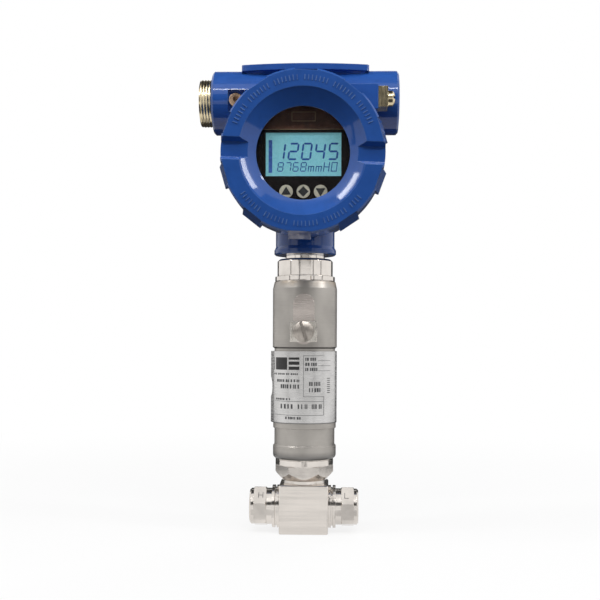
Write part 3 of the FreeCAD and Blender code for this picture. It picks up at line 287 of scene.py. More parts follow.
def make_blue_paint():
    """Thick gloss enamel on a casting: slow waves, slight orange peel, paler edges from wear and as
    a painted highlight.
    """
    finish = Finish("blue_paint", BLUE, roughness=0.42)
    finish.set("Specular IOR Level", 0.12)
    finish.set("Coat Weight", 0.85)
    finish.set("Coat Roughness", 0.085)
    finish.round_edges(0.5)
    finish.tint(finish.span(finish.noise(24.0), 0.4, 0.7), lighter(BLUE, 1.12))
    finish.tint(finish.span(finish.noise(5.0), 0.5, 0.8), lighter(BLUE, 0.92))
    # Edges take a paler blue: partly wear, partly a painted highlight.
    finish.edge_tint(0.5, EDGE_BLUE_WEAR_AND_HIGHLIGHT, 0.75)
    finish.vary(finish.noise(3.0), 0.07)
    finish.relief(finish.noise(11.0, detail=1.0), 0.10, 0.3)
    finish.relief(finish.noise(1.8, detail=1.0), 0.012, 0.3)
    return cover_thread(finish)


def cover_thread(finish):
    """Bare machined thread where the cover screws in: the same band on both pieces."""
    middle = cover_centre()[1]
    across = finish.axis("X")
    up = finish.maths("SUBTRACT", finish.axis("Z"), middle)
    depth = finish.axis("Y")
    squares = [finish.maths("POWER", side, 2.0) for side in (across, up)]
    radius = finish.maths("SQRT", finish.maths("ADD", *squares))
    off = finish.maths("ABSOLUTE", finish.maths("SUBTRACT", radius, COVER_THREAD_RADIUS * MM))
    near = finish.span(off, COVER_THREAD_OUTER * MM, COVER_THREAD_FULL * MM)
    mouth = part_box("front_cover_seal")[1].y
    end = mouth + COVER_THREAD_LENGTH * MM
    inside = finish.span(depth, mouth, mouth + COVER_THREAD_FADE * MM)
    ending = finish.span(depth, end, end - COVER_THREAD_FADE * MM)
    band = finish.maths("MULTIPLY", near, finish.maths("MULTIPLY", inside, ending))
    turn = finish.maths("DIVIDE", finish.maths("ARCTAN2", up, across), 2 * math.pi)
    rows = finish.maths("DIVIDE", depth, COVER_THREAD_PITCH * MM)
    phase = finish.maths("FRACT", finish.maths("ADD", rows, turn))
    ridges = finish.maths("ABSOLUTE", finish.maths("SUBTRACT", phase, 0.5))
    finish.tint(band, BARE_THREAD)
    finish.links.new(band, finish.shader.inputs["Metallic"])
    return finish.relief(
        finish.maths("MULTIPLY", ridges, band), height=COVER_THREAD_PITCH, strength=0.9)


def make_highlight_blue_ticks():
    """The same enamel made paler, as a painted highlight on the raised ticks."""
    finish = Finish("blue_painted_highlight", (0.06, 0.15, 0.42), roughness=0.35)
    finish.set("Coat Weight", 0.6)
    finish.set("Coat Roughness", 0.12)
    finish.round_edges(0.2)
    finish.tint(finish.span(finish.noise(4.0), 0.45, 0.65), (0.03, 0.10, 0.36))
    finish.vary(finish.noise(1.5), 0.08)
    return finish.relief(finish.noise(0.8), 0.01, 0.3)


def make_satin_steel():
    """Drawn tube steel: edges darkened by dirt and painted shade, painted shade on the bead at its
    foot, a painted shadow at the seam, and the tan tint of welding at the shoulder.
    """
    finish = metal(
        "satin_steel", (0.43, 0.405, 0.375), 0.40, FINE_Z, edge=0.3, blotch=20.0, shade=0.82)
    # Edges darken: dirt, and painted shade in the seams.
    finish.edge_tint(0.35, SEAM_DIRT_AND_SHADE, 0.7)
    sleeve_low, sleeve_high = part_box("upper_sleeve")
    # The bead at the foot turns darker towards the bottom: painted shade.
    finish.tint(finish.band(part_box("body_tube")[0].z, FOOT_SHADE_BAND, 0.85), FOOT_SHADE_GREY)
    # A painted shadow on the thin band at the sleeve's lower edge.
    below = finish.band(sleeve_low.z, SEAM_SHADOW_BAND_BELOW)
    above = finish.band(sleeve_low.z, SEAM_SHADOW_BAND)
    finish.tint(finish.maths("MULTIPLY", below, above), SEAM_SHADOW_GREY)
    heat = finish.band(sleeve_high.z, HEAT_BAND)
    uneven = finish.span(finish.noise(7.0), 0.35, 0.75, 0.05, 0.5)
    return finish.tint(finish.maths("MULTIPLY", heat, uneven), HEAT_TAN)


def make_label_steel():
    """Thin printed plate, with a painted shadow line where its lower edge meets the tube, and edges
    darkened by dirt and painted shade.
    """
    finish = metal(
        "label_steel", (0.64, 0.63, 0.62), 0.3, FINE_Z, edge=0.1, blotch=10.0, shade=0.88,
        depth=0.0012)
    # Edges darken: dirt, and painted shade.
    finish.edge_tint(0.3, PLATE_EDGE_DIRT_AND_SHADE, 0.8)
    # A painted shadow along the lower edge.
    line = finish.band(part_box("label_plate")[0].z, PLATE_SHADOW_BAND, 0.8)
    return finish.tint(line, PLATE_SHADOW_GREY)


def make_screw_steel():
    """Screw head, darker along its edges, in its slot and at its rim."""
    finish = metal(
        "screw_steel", (0.44, 0.40, 0.36), 0.34, FINE_X, edge=0.2, blotch=3.0, shade=0.7)
    # Edges, the slot and the rim turn darker.
    return finish.edge_tint(0.3, SCREW_EDGE_DARK, 0.7)


def make_block_steel():
    """Milled face: faint streaks along the cut."""
    finish = metal("block_steel", STEEL, 0.2, FINE_X, edge=0.3, blotch=30.0, shade=0.93)
    streaks = finish.noise(4.0, (0.05, 1.0, 1.0), detail=4.0, soft=0.65)
    finish.tint(finish.span(streaks, 0.45, 0.62), lighter(STEEL, 0.87))
    return finish.relief(streaks, 0.01, 0.3)


def make_glass():
    """Clear tempered glass that lets the light through to the display."""
    finish = Finish("clear_glass", (0.96, 0.98, 0.98), roughness=0.02)
    finish.set("Transmission Weight", 1.0)
    finish.set("IOR", 1.47)
    finish.vary(finish.noise(12.0), 0.01)
    path = finish.nodes.new("ShaderNodeLightPath")
    clear = finish.nodes.new("ShaderNodeBsdfTransparent")
    clear.inputs["Color"].default_value = CLEAR
    through = finish.maths("MAXIMUM", path.outputs["Is Shadow Ray"], path.outputs["Is Diffuse Ray"])
    mix_shaders(finish.tree, through, finish.shader.outputs["BSDF"], clear.outputs["BSDF"])
    return finish


def make_faceplate():
    """Smoked gloss faceplate, with a painted brown reflection above the ruled line."""
    finish = plastic("faceplate_plastic", (0.012, 0.008, 0.008), 0.16, grain=0.6, height=0.002)
    finish.set("Coat Weight", 0.6)
    # The brown above the screen is a painted reflection, in clouds.
    above = finish.band(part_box("lcd_panel")[1].z, BROWN_REFLECTION_BAND)
    cloud = finish.span(finish.noise(9.0), 0.35, 0.65, 0.3, 1.0)
    return finish.tint(finish.maths("MULTIPLY", above, cloud), BROWN_REFLECTION)


def make_screen():
    """Backlit liquid crystal, a little dimmer towards one side."""
    colour = (0.23, 0.57, 0.63)
    finish = Finish("lcd_screen", colour, roughness=0.28)
    finish.tint(finish.span(finish.noise(16.0), 0.4, 0.7), (0.20, 0.50, 0.66))
    finish.vary(finish.noise(2.0), 0.05)
    finish.relief(finish.noise(0.3), 0.002, 0.3)
    finish.set("Emission Color", (*colour, 1))
    finish.set("Emission Strength", 0.35)
    return finish


def make_board():
    """Green board with paler tracks."""
    finish = plastic("circuit_board", (0.02, 0.16, 0.06), 0.35, grain=0.5, height=0.004)
    tracks = finish.span(finish.noise(1.2, (1, 1, 0.2), detail=0.0), 0.56, 0.6)
    return finish.tint(tracks, BOARD_TRACKS)


def make_ink(name, colour, roughness=0.45):
    """Printed ink, slightly uneven."""
    finish = Finish(name, colour, roughness=roughness)
    finish.tint(finish.span(finish.noise(1.5), 0.45, 0.75), lighter(colour, 1.6))
    finish.vary(finish.noise(0.6), 0.06)
    return finish.relief(finish.noise(0.25), 0.002, 0.3)


def make_finishes():
    """Every finish by name."""
    made = [
        make_blue_paint(),
        make_highlight_blue_ticks(),
        make_satin_steel(),
        make_label_steel(),
        make_screw_steel(),
        make_block_steel(),
        make_glass(),
        make_faceplate(),
        make_screen(),
        make_board(),
        metal("polished_steel", STEEL, 0.2, FINE_Z),
        metal("polished_steel_x", STEEL, 0.17, FINE_X),
        metal("bright_steel", STEEL, 0.10, FINE_Z, blotch=10.0, shade=0.88),
        metal("pad_steel", (0.60, 0.54, 0.50), 0.30, FINE_Z, edge=0.3, blotch=8.0, shade=0.85),
        metal("clamp_steel", (0.74, 0.70, 0.64), 0.22, FINE_X, edge=0.3, blotch=4.0),
        metal("brass_nickel", (0.72, 0.61, 0.40), 0.22, FINE_X, edge=0.2, blotch=4.0, shade=0.72),
        metal("nickel_screw", (0.74, 0.70, 0.65), 0.17, FINE_X, edge=0.2, blotch=3.0),
        metal("bronze_screw", (0.55, 0.38, 0.26), 0.3, FINE_X, edge=0.15, blotch=2.0, shade=0.6),
        metal("gold_pin", (0.86, 0.62, 0.24), 0.2, FINE_Z, edge=0.1, blotch=2.0, shade=0.85),
        plastic("seal_rubber", (0.018, 0.018, 0.019), 0.6, grain=0.3, height=0.02),
        plastic("potting", (0.035, 0.035, 0.038), 0.42, grain=0.8, height=0.02, shade=1.7),
        plastic("key_plastic", (0.80, 0.72, 0.56), 0.32),
        plastic("pale_plastic", (0.72, 0.70, 0.65), 0.4),
        plastic("wire_sleeve", (0.50, 0.04, 0.03), 0.35),
        make_ink("segment_ink", (0.024, 0.095, 0.40), 0.3),
        make_ink("bar_ink", (0.06, 0.16, 0.55), 0.3),
        make_ink("black_ink", (0.016, 0.015, 0.015)),
        make_ink("grey_ink", (0.06, 0.06, 0.063)),
        make_ink("gold_ink", (0.34, 0.22, 0.12), 0.3),
    ]
    return {finish.name: finish.material for finish in made}


finishes = make_finishes()

# Nodes whose finish differs from their record slot's.
OWN_FINISH = {
    "body_cap": "bright_steel",
    "neck_nipple": "bright_steel",
    "upper_split_ring": "bright_steel",
    "lower_split_ring": "bright_steel",
    "process_block": "block_steel",
    "high_port_adapter": "polished_steel_x",
    "low_port_adapter": "polished_steel_x",
    "ground_pad": "pad_steel",
    "ground_clamp": "clamp_steel",
    "ground_screw": "screw_steel",
}


def dress_nodes():
    """Each CAD node takes the finish of its record slot, or its own."""
    for part in frame["record"]["subparts"]:
        name = OWN_FINISH.get(part["node"], part["material_slot"])
        for slot in nodes[part["node"]].material_slots:
            slot.material = finishes[name]


# ---------------------------------------------------------------- added pieces
PRINT_DEPTH = 0.03


def add_mesh(name, points, faces, finish, body, smooth=False):
    """A mesh piece that rides on a body."""
    mesh = bpy.data.meshes.new(name)
    mesh.from_pydata([tuple(point) for point in points], [], faces)
    mesh.materials.append(finishes[finish])
    if smooth:
        mesh.shade_smooth()
    piece = bpy.data.objects.new(name, mesh)
    bpy.context.scene.collection.objects.link(piece)
    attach(piece, body)


def add_print(name, shapes, place, finish, body, depth=PRINT_DEPTH):
    """Flat shapes as one piece, each given a front and sides.

    A shape is a list of (across, up) corners, anticlockwise as seen from the front.
    The place function puts (across, up, height) on the surface.
    """
    points = []
    faces = []
    for shape in shapes:
        first = len(points)
        count = len(shape)
        points += [place(across, up, depth) for across, up in shape]
        points += [place(across, up, 0.0) for across, up in shape]
        faces.append(tuple(range(first, first + count)))
        for corner in range(count):
            after = (corner + 1) % count
            side = (corner, count + corner, count + after, after)
            faces.append(tuple(first + number for number in side))
    add_mesh(name, points, faces, finish, body)


def rectangle(left, low, right, high):
    """A shape with four square corners."""
    return [(left, low), (right, low), (right, high), (left, high)]


def stroke_shape(points, width):
    """A bar of that width from the first point to the second."""
    (x0, z0), (x1, z1) = points
    along = Vector((x1 - x0, z1 - z0)).normalized() * width / 2
    side = Vector((-along.y, along.x))
    return [
        (x0 - along.x + side.x, z0 - along.y + side.y),
        (x0 - along.x - side.x, z0 - along.y - side.y),
        (x1 + along.x - side.x, z1 + along.y - side.y),
        (x1 + along.x + side.x, z1 + along.y + side.y),
    ]


def facing_front(x, y, z):
    """A place function for print on a flat face that looks towards the front."""
    return lambda across, up, height: Vector((x + across * MM, y - height * MM, z + up * MM))


# ---------------------------------------------------------------- display
SEGMENTS = {
    "0": "abcdef",
    "1": "bc",
    "2": "abdeg",
    "3": "abcdg",
    "4": "bcfg",
    "5": "acdfg",
    "6": "acdefg",
    "7": "abc",
    "8": "abcdefg",
    "9": "abcdfg",
}
SLANT = 0.13
SEGMENT_GAP = 0.1

# Rows of the readout, in millimetres from the middle of the screen.
LARGE_ROW = {"left": -14.2, "step": 6.6, "low": -2.2, "wide": 4.2, "tall": 7.7, "stroke": 0.92}
SMALL_ROW = {"left": -12.9, "step": 3.79, "low": -8.1, "wide": 2.5, "tall": 4.2, "stroke": 0.5}
UNIT_ROW = {"left": 2.3, "step": 3.79, "low": -8.1, "wide": 2.5, "tall": 4.2, "stroke": 0.45}
LEVEL_BAR = (-17.3, -8.9, -15.5, 7.3)
SEGMENT_DEPTH = 0.04

# The unit after the second row: small m, small m, capital H, capital O.
UNIT_STROKES = {
    "m": [
        ((0, 0), (0, 0.55)), ((0, 0.55), (1, 0.55)), ((0.5, 0), (0.5, 0.55)), ((1, 0), (1, 0.55)),
    ],
    "H": [((0, 0), (0, 1)), ((1, 0), (1, 1)), ((0, 0.5), (1, 0.5))],
    "O": [((0, 0), (0, 1)), ((1, 0), (1, 1)), ((0, 0), (1, 0)), ((0, 1), (1, 1))],
}

# Lines on the faceplate: left, low, right, high from the middle of the screen.
RULED_LINE = (-23.4, 12.2, 23.4, 12.5)
EMPTY_FRAME = (-5.9, 16.3, 5.9, 21.0)
EMPTY_FRAME_LINE = 0.28

KEY_TRIANGLE = [(-2.45, -1.6), (2.45, -1.6), (0.0, 2.5)]
KEY_DIAMOND = [(-2.6, 0.0), (0.0, -2.6), (2.6, 0.0), (0.0, 2.6)]


def digit(mark, left, row):
    """The lit segments of one slanted seven-segment digit."""
    low, wide, tall = row["low"], row["wide"], row["tall"]
    half = tall / 2
    reach = row["stroke"] / 2
    inset = reach + SEGMENT_GAP
    lines = {
        "a": ((0, tall), (wide, tall)),
        "b": ((wide, half), (wide, tall)),
        "c": ((wide, 0), (wide, half)),
        "d": ((0, 0), (wide, 0)),
        "e": ((0, 0), (0, half)),
        "f": ((0, half), (0, tall)),
        "g": ((0, half), (wide, half)),
    }
    shapes = []
    for letter in SEGMENTS[mark]:
        (x0, z0), (x1, z1) = lines[letter]
        if z0 == z1:
            x0, x1 = x0 + inset, x1 - inset
            outline = [
                (x0 - reach, z0), (x0, z0 - reach), (x1, z0 - reach),
                (x1 + reach, z0), (x1, z0 + reach), (x0, z0 + reach),
            ]
        else:
            z0, z1 = z0 + inset, z1 - inset
            outline = [
                (x0, z0 - reach), (x0 + reach, z0), (x0 + reach, z1),
                (x0, z1 + reach), (x0 - reach, z1), (x0 - reach, z0),
            ]
        shapes.append([(left + x + z * SLANT, low + z) for x, z in outline])
    return shapes


def unit_mark(mark, left, row):
    """One slanted letter of the unit, made of straight strokes."""
    wide, tall = row["wide"], row["tall"]
    shapes = []
    for line in UNIT_STROKES[mark]:
        ends = [(left + x * wide + z * tall * SLANT, row["low"] + z * tall) for x, z in line]
        shapes.append(stroke_shape(ends, row["stroke"]))
    return shapes


def row_of(marks, row, draw):
    """The shapes of marks side by side."""
    shapes = []
    for number, mark in enumerate(marks):
        shapes += draw(mark, row["left"] + number * row["step"], row)
    return shapes


def facing_screen(node):
    """A place function for print on that node, measured from the middle of the screen."""
    low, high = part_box("lcd_panel")
    return facing_front(0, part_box(node)[0].y, (low.z + high.z) / 2)


def add_readout():
    """Segments on the lit screen: five large digits, a small row and the level bar."""
    place = facing_screen("lcd_panel")
    shapes = row_of("12045", LARGE_ROW, digit)
    shapes += row_of("8768", SMALL_ROW, digit)
    shapes += row_of("mmHO", UNIT_ROW, unit_mark)
    bar = [rectangle(*LEVEL_BAR)]
    add_print("readout_digits", shapes, place, "segment_ink", ROOT, SEGMENT_DEPTH)
    add_print("readout_bar", bar, place, "bar_ink", ROOT, SEGMENT_DEPTH)


def frame_shapes(left, low, right, high, width):
    """Four bars round a rectangle."""
    return [
        rectangle(left, low, right, low + width),
        rectangle(left, high - width, right, high),
        rectangle(left, low + width, left + width, high - width),
        rectangle(right - width, low + width, right, high - width),
    ]


def add_faceplate_print():
    """A thin ruled line above the screen and an empty frame over it."""
    place = facing_screen("display_faceplate")
    shapes = [rectangle(*RULED_LINE)] + frame_shapes(*EMPTY_FRAME, EMPTY_FRAME_LINE)
    add_print("faceplate_lines", shapes, place, "gold_ink", ROOT)


def add_key_marks():
    """Up, enter and down signs on the three keys."""
    down = [(x, -z) for x, z in reversed(KEY_TRIANGLE)]
    for name, shape in (("span_key", KEY_TRIANGLE), ("mode_key", KEY_DIAMOND), ("zero_key", down)):
        low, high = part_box(name)
        place = facing_front((low.x + high.x) / 2, low.y, (low.z + high.z) / 2)
        add_print(f"{name}_mark", [shape], place, "black_ink", name)


# ---------------------------------------------------------------- cover
# Ticks on the rim: radii, depth and spacing in millimetres and degrees.
TICK_INNER = 33.9
TICK_OUTER = 36.5
TICK_DEPTH = 0.25
TICK_HALF_ANGLE = 0.42
TICK_PITCH = 3.0
TICK_ARCS = ((21, 159), (214, 322))
TICKS_PER_GAP = 8


def add_cover_marks():
    """Plain raised ticks where the real rim has cast words."""
    x0, z0 = cover_centre()
    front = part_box("front_cover")[0].y

    def place(across, up, height):
        """Across is an angle in degrees, up is a radius."""
        x = math.cos(math.radians(across))
        z = math.sin(math.radians(across))
        return Vector((x0 + up * MM * x, front - height * MM, z0 + up * MM * z))

    shapes = []
    for start, end in TICK_ARCS:
        for step in range(int((end - start) / TICK_PITCH)):
            if step % TICKS_PER_GAP == TICKS_PER_GAP - 1:
                continue
            middle = start + (step + 0.5) * TICK_PITCH
            before, after = middle - TICK_HALF_ANGLE, middle + TICK_HALF_ANGLE
            shapes.append(rectangle(before, TICK_OUTER, after, TICK_INNER))
    # The ticks take the paler blue: a painted highlight on their raised faces.
    add_print("cover_ticks", shapes, place, "blue_painted_highlight", "front_cover", TICK_DEPTH)


# ---------------------------------------------------------------- label
# The label's print in millimetres, across from its middle and down from its top edge.
# Bars and rules: left, foot, right, head.
DARK_BARS = (
    (-15.6, 9.6, -8.6, 3.2),
    (-7.8, 9.6, -2.2, 7.9),
    (-7.8, 7.0, -2.2, 5.3),
    (-7.8, 4.4, -2.2, 3.2),
)
RULES = (
    (-0.2, 23.4, 0.0, 2.2),
    (0.0, 2.4, 10.4, 2.2),
    (0.0, 23.4, 10.4, 23.2),
    (-16.2, 25.9, 10.4, 25.7),
    (-16.2, 33.0, 10.4, 32.8),
    (10.2, 33.0, 10.4, 23.2),
)
# Rows of dashes: left, right, foot and how tall they are.
DASHED_ROWS = (
    (-15.6, -2.2, 12.2, 0.9),
    (-14.0, -2.2, 15.9, 1.4),
    (-12.0, -2.2, 19.2, 2.1),
    (-14.5, -7.0, 25.2, 1.0),
    (-9.5, -1.2, 35.0, 1.3),
)
DASH_WIDTHS = (0.55, 0.75, 0.95)
DASH_GAPS = (0.3, 0.3, 0.8)
DASH_LEAST = 0.5
# The wide-set row: marks, the places left free, left end, spacing, width, foot, height.
SET_MARKS = 12
SET_FREE = (4, 8)
SET_LEFT, SET_STEP, SET_WIDE = -12.0, 1.8, 1.4
SET_FOOT, SET_TALL = 29.6, 2.4
# Rows that repeat: how many, the first one's foot, and how far on the next one lies.
FIELDS = (3, 4.9, 2.6)
FIELD_DASHES, FIELD_TALL = (0.8, 7.0), 1.6
FIELD_LINE, FIELD_LINE_TALL = (7.4, 13.6), 0.18
NOTES = (2, 17.8, 3.2)
NOTE_DASHES, NOTE_TALL = (2.8, 8.6), 2.1
LADDER = (8, 21.5, -1.05)
LADDER_RUNG, LADDER_TALL = (12.0, 13.4), 0.4
CURVE_STEP = 1.2
LABEL_SEED = 4


def add_label_print():
    """Generic print on the wrapped plate: bars, rules and rows of dashes."""
    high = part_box("label_plate")[1]
    radius = high.x
    top = high.z / MM
    dark = []
    fine = []
    dice = random.Random(LABEL_SEED)

    def place(across, up, height):
        """Round the tube, where across is measured on the flat."""
        out = radius + height * MM
        angle = math.asin(max(-1.0, min(1.0, across * MM / radius)))
        return Vector((math.sin(angle) * out, -math.cos(angle) * out, up * MM))

    def bar(group, left, foot, right, head):
        """A bar in short steps, so that it follows the curve."""
        steps = max(1, math.ceil((right - left) / CURVE_STEP))
        for step in range(steps):
            x0 = left + (right - left) * step / steps
            x1 = left + (right - left) * (step + 1) / steps
            group.append(rectangle(x0, foot, x1, head))

    def dashes(left, right, foot, tall):
        """A row of uneven short strokes, as small type looks from a step away."""
        x = left
        while x < right - DASH_LEAST:
            wide = dice.choice(DASH_WIDTHS)
            bar(fine, x, foot, min(x + wide, right), foot + tall)
            x += wide + dice.choice(DASH_GAPS)

    def feet(count, foot, step):
        """Where rows that repeat stand."""
        return [top - foot - row * step for row in range(count)]

    for left, foot, right, head in DARK_BARS:
        bar(dark, left, top - foot, right, top - head)
    for left, right, foot, tall in DASHED_ROWS:
        dashes(left, right, top - foot, tall)
    for number in range(SET_MARKS):
        if number not in SET_FREE:
            left = SET_LEFT + number * SET_STEP
            dashes(left, left + SET_WIDE, top - SET_FOOT, SET_TALL)
    for left, foot, right, head in RULES:
        bar(fine, left, top - foot, right, top - head)
    for foot in feet(*FIELDS):
        dashes(*FIELD_DASHES, foot, FIELD_TALL)
        bar(fine, FIELD_LINE[0], foot, FIELD_LINE[1], foot + FIELD_LINE_TALL)
    for foot in feet(*NOTES):
        dashes(*NOTE_DASHES, foot, NOTE_TALL)
    for foot in feet(*LADDER):
        bar(fine, LADDER_RUNG[0], foot, LADDER_RUNG[1], foot + LADDER_TALL)
    add_print("label_bars", dark, place, "black_ink", ROOT)
    add_print("label_rows", fine, place, "grey_ink", ROOT)


# ---------------------------------------------------------------- threads
ROUND_STEPS = 96
RIDGE_STEPS = 8
# The share of a ridge that is flat at its root, and the share that slopes.
RIDGE_FLAT = 0.12
RIDGE_SLOPE = 0.76

# Threads in millimetres: length, pitch, radius at the root and at the crest.
ENTRY_THREAD = (17.5, 1.5, 10.29, 9.5)
PORT_THREAD = (12.8, 1.41, 5.69, 5.1)
# The adapter's thread: pitch, what its end leaves free, root and crest above the surface.
ADAPTER_PITCH = 1.5
ADAPTER_END = 0.1
ADAPTER_ROOT = 0.01
ADAPTER_CREST = 0.35
LEFT = Vector((-1, 0, 0))
RIGHT = Vector((1, 0, 0))


def ridge(distance, pitch, turn):
    """Height of a V thread with flats, 0 at the root and 1 at the crest."""
    phase = (distance / pitch - turn) % 1.0
    height = 1.0 - abs(phase * 2 - 1)
    return min(max((height - RIDGE_FLAT) / RIDGE_SLOPE, 0.0), 1.0)


def add_thread(name, start, along, sizes, finish):
    """A screw thread round an axis, faded in over one turn and out over half a turn."""
    length, pitch, root, crest = sizes
    side = along.orthogonal().normalized()
    other = along.cross(side)
    count = round(length / pitch * RIDGE_STEPS)
    points = []
    for row in range(count + 1):
        distance = length * row / count
        fade = min(1.0, distance / pitch, (length - distance) / (pitch * 0.5))
        for step in range(ROUND_STEPS):
            turn = step / ROUND_STEPS
            radius = root + (crest - root) * ridge(distance, pitch, turn) * max(fade, 0.0)
            angle = turn * 2 * math.pi
            out = side * math.cos(angle) + other * math.sin(angle)
            points.append(start + along * distance * MM + out * radius * MM)
    faces = []
    for row in range(count):
        for step in range(ROUND_STEPS):
            a = row * ROUND_STEPS + step
            b = row * ROUND_STEPS + (step + 1) % ROUND_STEPS
            corners = (a, b, b + ROUND_STEPS, a + ROUND_STEPS)
            faces.append(corners if crest > root else tuple(reversed(corners)))
    add_mesh(name, points, faces, finish, ROOT, smooth=True)


def add_threads():
    """Outer thread of the left adapter and the inner threads of the three entries."""
    low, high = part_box("conduit_adapter")
    housing_low, housing_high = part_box("housing")
    height = (low.z + high.z) / 2
    outer = (high.z - low.z) / 2 / MM
    length = (housing_low.x - low.x) / MM - ADAPTER_END
    sizes = (length, ADAPTER_PITCH, outer + ADAPTER_ROOT, outer + ADAPTER_CREST)
    start = Vector((housing_low.x, 0, height))
    add_thread("adapter_thread", start, LEFT, sizes, "brass_nickel")
    start = Vector((housing_high.x, 0, height))
    add_thread("entry_thread", start, -RIGHT, ENTRY_THREAD, "nickel_screw")
    for name, along in (("high_port", LEFT), ("low_port", RIGHT)):
        low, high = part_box(f"{name}_adapter")
        start = Vector((low.x if along.x < 0 else high.x, 0, (low.z + high.z) / 2))
        add_thread(
            f"{name}_thread", start, -along, PORT_THREAD, "polished_steel_x")


# ---------------------------------------------------------------- port marks
LETTER_STROKES = {
    "H": [((0, 0), (0, 1)), ((0.7, 0), (0.7, 1)), ((0, 0.5), (0.7, 0.5))],
    "L": [((0, 0), (0, 1)), ((0, 0), (0.6, 0))],
}
LETTER_SIZE = 3.2
LETTER_STROKE = 0.3
LETTER_LEFT = 1.1
# The hexagon's upper front flat, and the letter's place on it, outwards from its middle.
HEX_FLAT_ANGLE = 45.0
HEX_FLAT_RADIUS = 9.5
LETTER_OUTWARD = 5.4


def add_port_marks():
    """H and L, the plain marks of the high and low pressure ports."""
    angle = math.radians(HEX_FLAT_ANGLE)
    out = Vector((0, -math.cos(angle), math.sin(angle)))
    up = Vector((0, math.sin(angle), math.cos(angle)))
    for name, letter in (("high_port_adapter", "H"), ("low_port_adapter", "L")):
        low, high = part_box(name)
        outward = LETTER_OUTWARD if low.x > 0 else -LETTER_OUTWARD
        across = (low.x + high.x) / 2 + outward * MM
        middle = (low.z + high.z) / 2
        base = Vector((across - LETTER_LEFT * MM, 0, middle)) + out * HEX_FLAT_RADIUS * MM

        def place(x, z, height):
            """On the sloping flat."""
            return base + Vector((x * MM, 0, 0)) + up * (z * MM) + out * (height * MM)

        shapes = []
        for line in LETTER_STROKES[letter]:
            ends = [(x * LETTER_SIZE, (z - 0.5) * LETTER_SIZE) for x, z in line]
            shapes.append(stroke_shape(ends, LETTER_STROKE))
        add_print(f"{name}_mark", shapes, place, "grey_ink", ROOT)


# ---------------------------------------------------------------- studio
# Light that comes from all round, and what the floor throws back.
AMBIENT = 0.30
FLOOR_BOUNCE = 0.15
# The floor as the picture sees it: its own shade, its glow near the object, and the
# distances between which it turns into the background.
FLOOR_SHADE = 0.86
FLOOR_GLOW = 0.8
FLOOR_NEAR = 0.10
FLOOR_FAR = 0.60
FLOOR_REACH = 6.0
FLOOR_LEVEL = -0.0002
MATT = 0.9


def add_stage_plane(name, centre, across, up, material):
    """A flat sheet of the set, which isn't part of the object."""
    centre, across, up = Vector(centre), Vector(across), Vector(up)
    corners = (
        centre - across - up, centre + across - up, centre + across + up, centre - across + up)
    mesh = bpy.data.meshes.new(name)
    mesh.from_pydata([tuple(corner) for corner in corners], [], [(0, 1, 2, 3)])
    mesh.materials.append(material)
    sheet = bpy.data.objects.new(name, mesh)
    bpy.context.scene.collection.objects.link(sheet)
    return sheet


def background_rays(tree):
    """A socket that is 1 for the rays that see the set itself, and 0 for those that light it."""
    path = tree.nodes.new("ShaderNodeLightPath")
    found = path.outputs["Is Camera Ray"]
    for name in ("Is Glossy Ray", "Is Transmission Ray"):
        found = arithmetic(tree, "MAXIMUM", found, path.outputs[name])
    return found


def add_floor():
    """White floor that keeps a soft shadow near the object and joins the background far off."""
    material = bpy.data.materials.new("floor_white")
    material.use_nodes = True
    tree = material.node_tree
    shader = tree.nodes["Principled BSDF"]
    seen = background_rays(tree)
    shade = map_range(tree, seen, 0.0, 1.0, FLOOR_BOUNCE, FLOOR_SHADE)
    tree.links.new(shade, shader.inputs["Base Color"])
    shader.inputs["Roughness"].default_value = MATT
    shader.inputs["Specular IOR Level"].default_value = 0.0
    glow = tree.nodes.new("ShaderNodeEmission")
    glow.inputs["Color"].default_value = (1, 1, 1, 1)
    glow.inputs["Strength"].default_value = 1.0
    distance = tree.nodes.new("ShaderNodeVectorMath")
    distance.operation = "LENGTH"
    place = tree.nodes.new("ShaderNodeTexCoord")
    tree.links.new(place.outputs["Object"], distance.inputs[0])
    away = distance.outputs["Value"]
    far = map_range(tree, away, FLOOR_NEAR, FLOOR_FAR, FLOOR_GLOW, 1.0, smooth=True)
    share = arithmetic(tree, "MULTIPLY", seen, far)
    mix_shaders(tree, share, shader.outputs["BSDF"], glow.outputs["Emission"])
    centre = (0, 0, FLOOR_LEVEL)
    add_stage_plane("floor", centre, (FLOOR_REACH, 0, 0), (0, FLOOR_REACH, 0), material)


def add_world():
    """White where the camera, gloss and glass look, plain grey light otherwise."""
    world = bpy.data.worlds.new("studio_world")
    bpy.context.scene.world = world
    world.use_nodes = True
    tree = world.node_tree
    background = tree.nodes["Background"]
    background.inputs["Color"].default_value = (1, 1, 1, 1)
    level = map_range(tree, background_rays(tree), 0.0, 1.0, AMBIENT, 1.0)
    tree.links.new(level, background.inputs["Strength"])


# What the lamps look at.
HEAD = Vector((0, -0.03, 0.19))
# Name, direction from the head, distance, size, level and whether gloss mirrors it.
LAMPS = (
    ("strip_front", (0.05, -0.73, 0.68), 0.9, (1.3, 0.04), 0.50, True),
    ("softbox_right", (0.82, -0.26, 0.50), 0.8, (0.08, 0.50), 0.25, True),
    ("softbox_left", (-0.66, -0.19, 0.72), 0.8, (0.08, 0.42), 0.25, True),
    ("softbox_top", (0.0, -0.35, 0.94), 1.0, (0.8, 0.5), 0.32, False),
    ("softbox_back", (0.3, 0.85, 0.45), 1.2, (0.8, 0.6), 0.30, False),
)


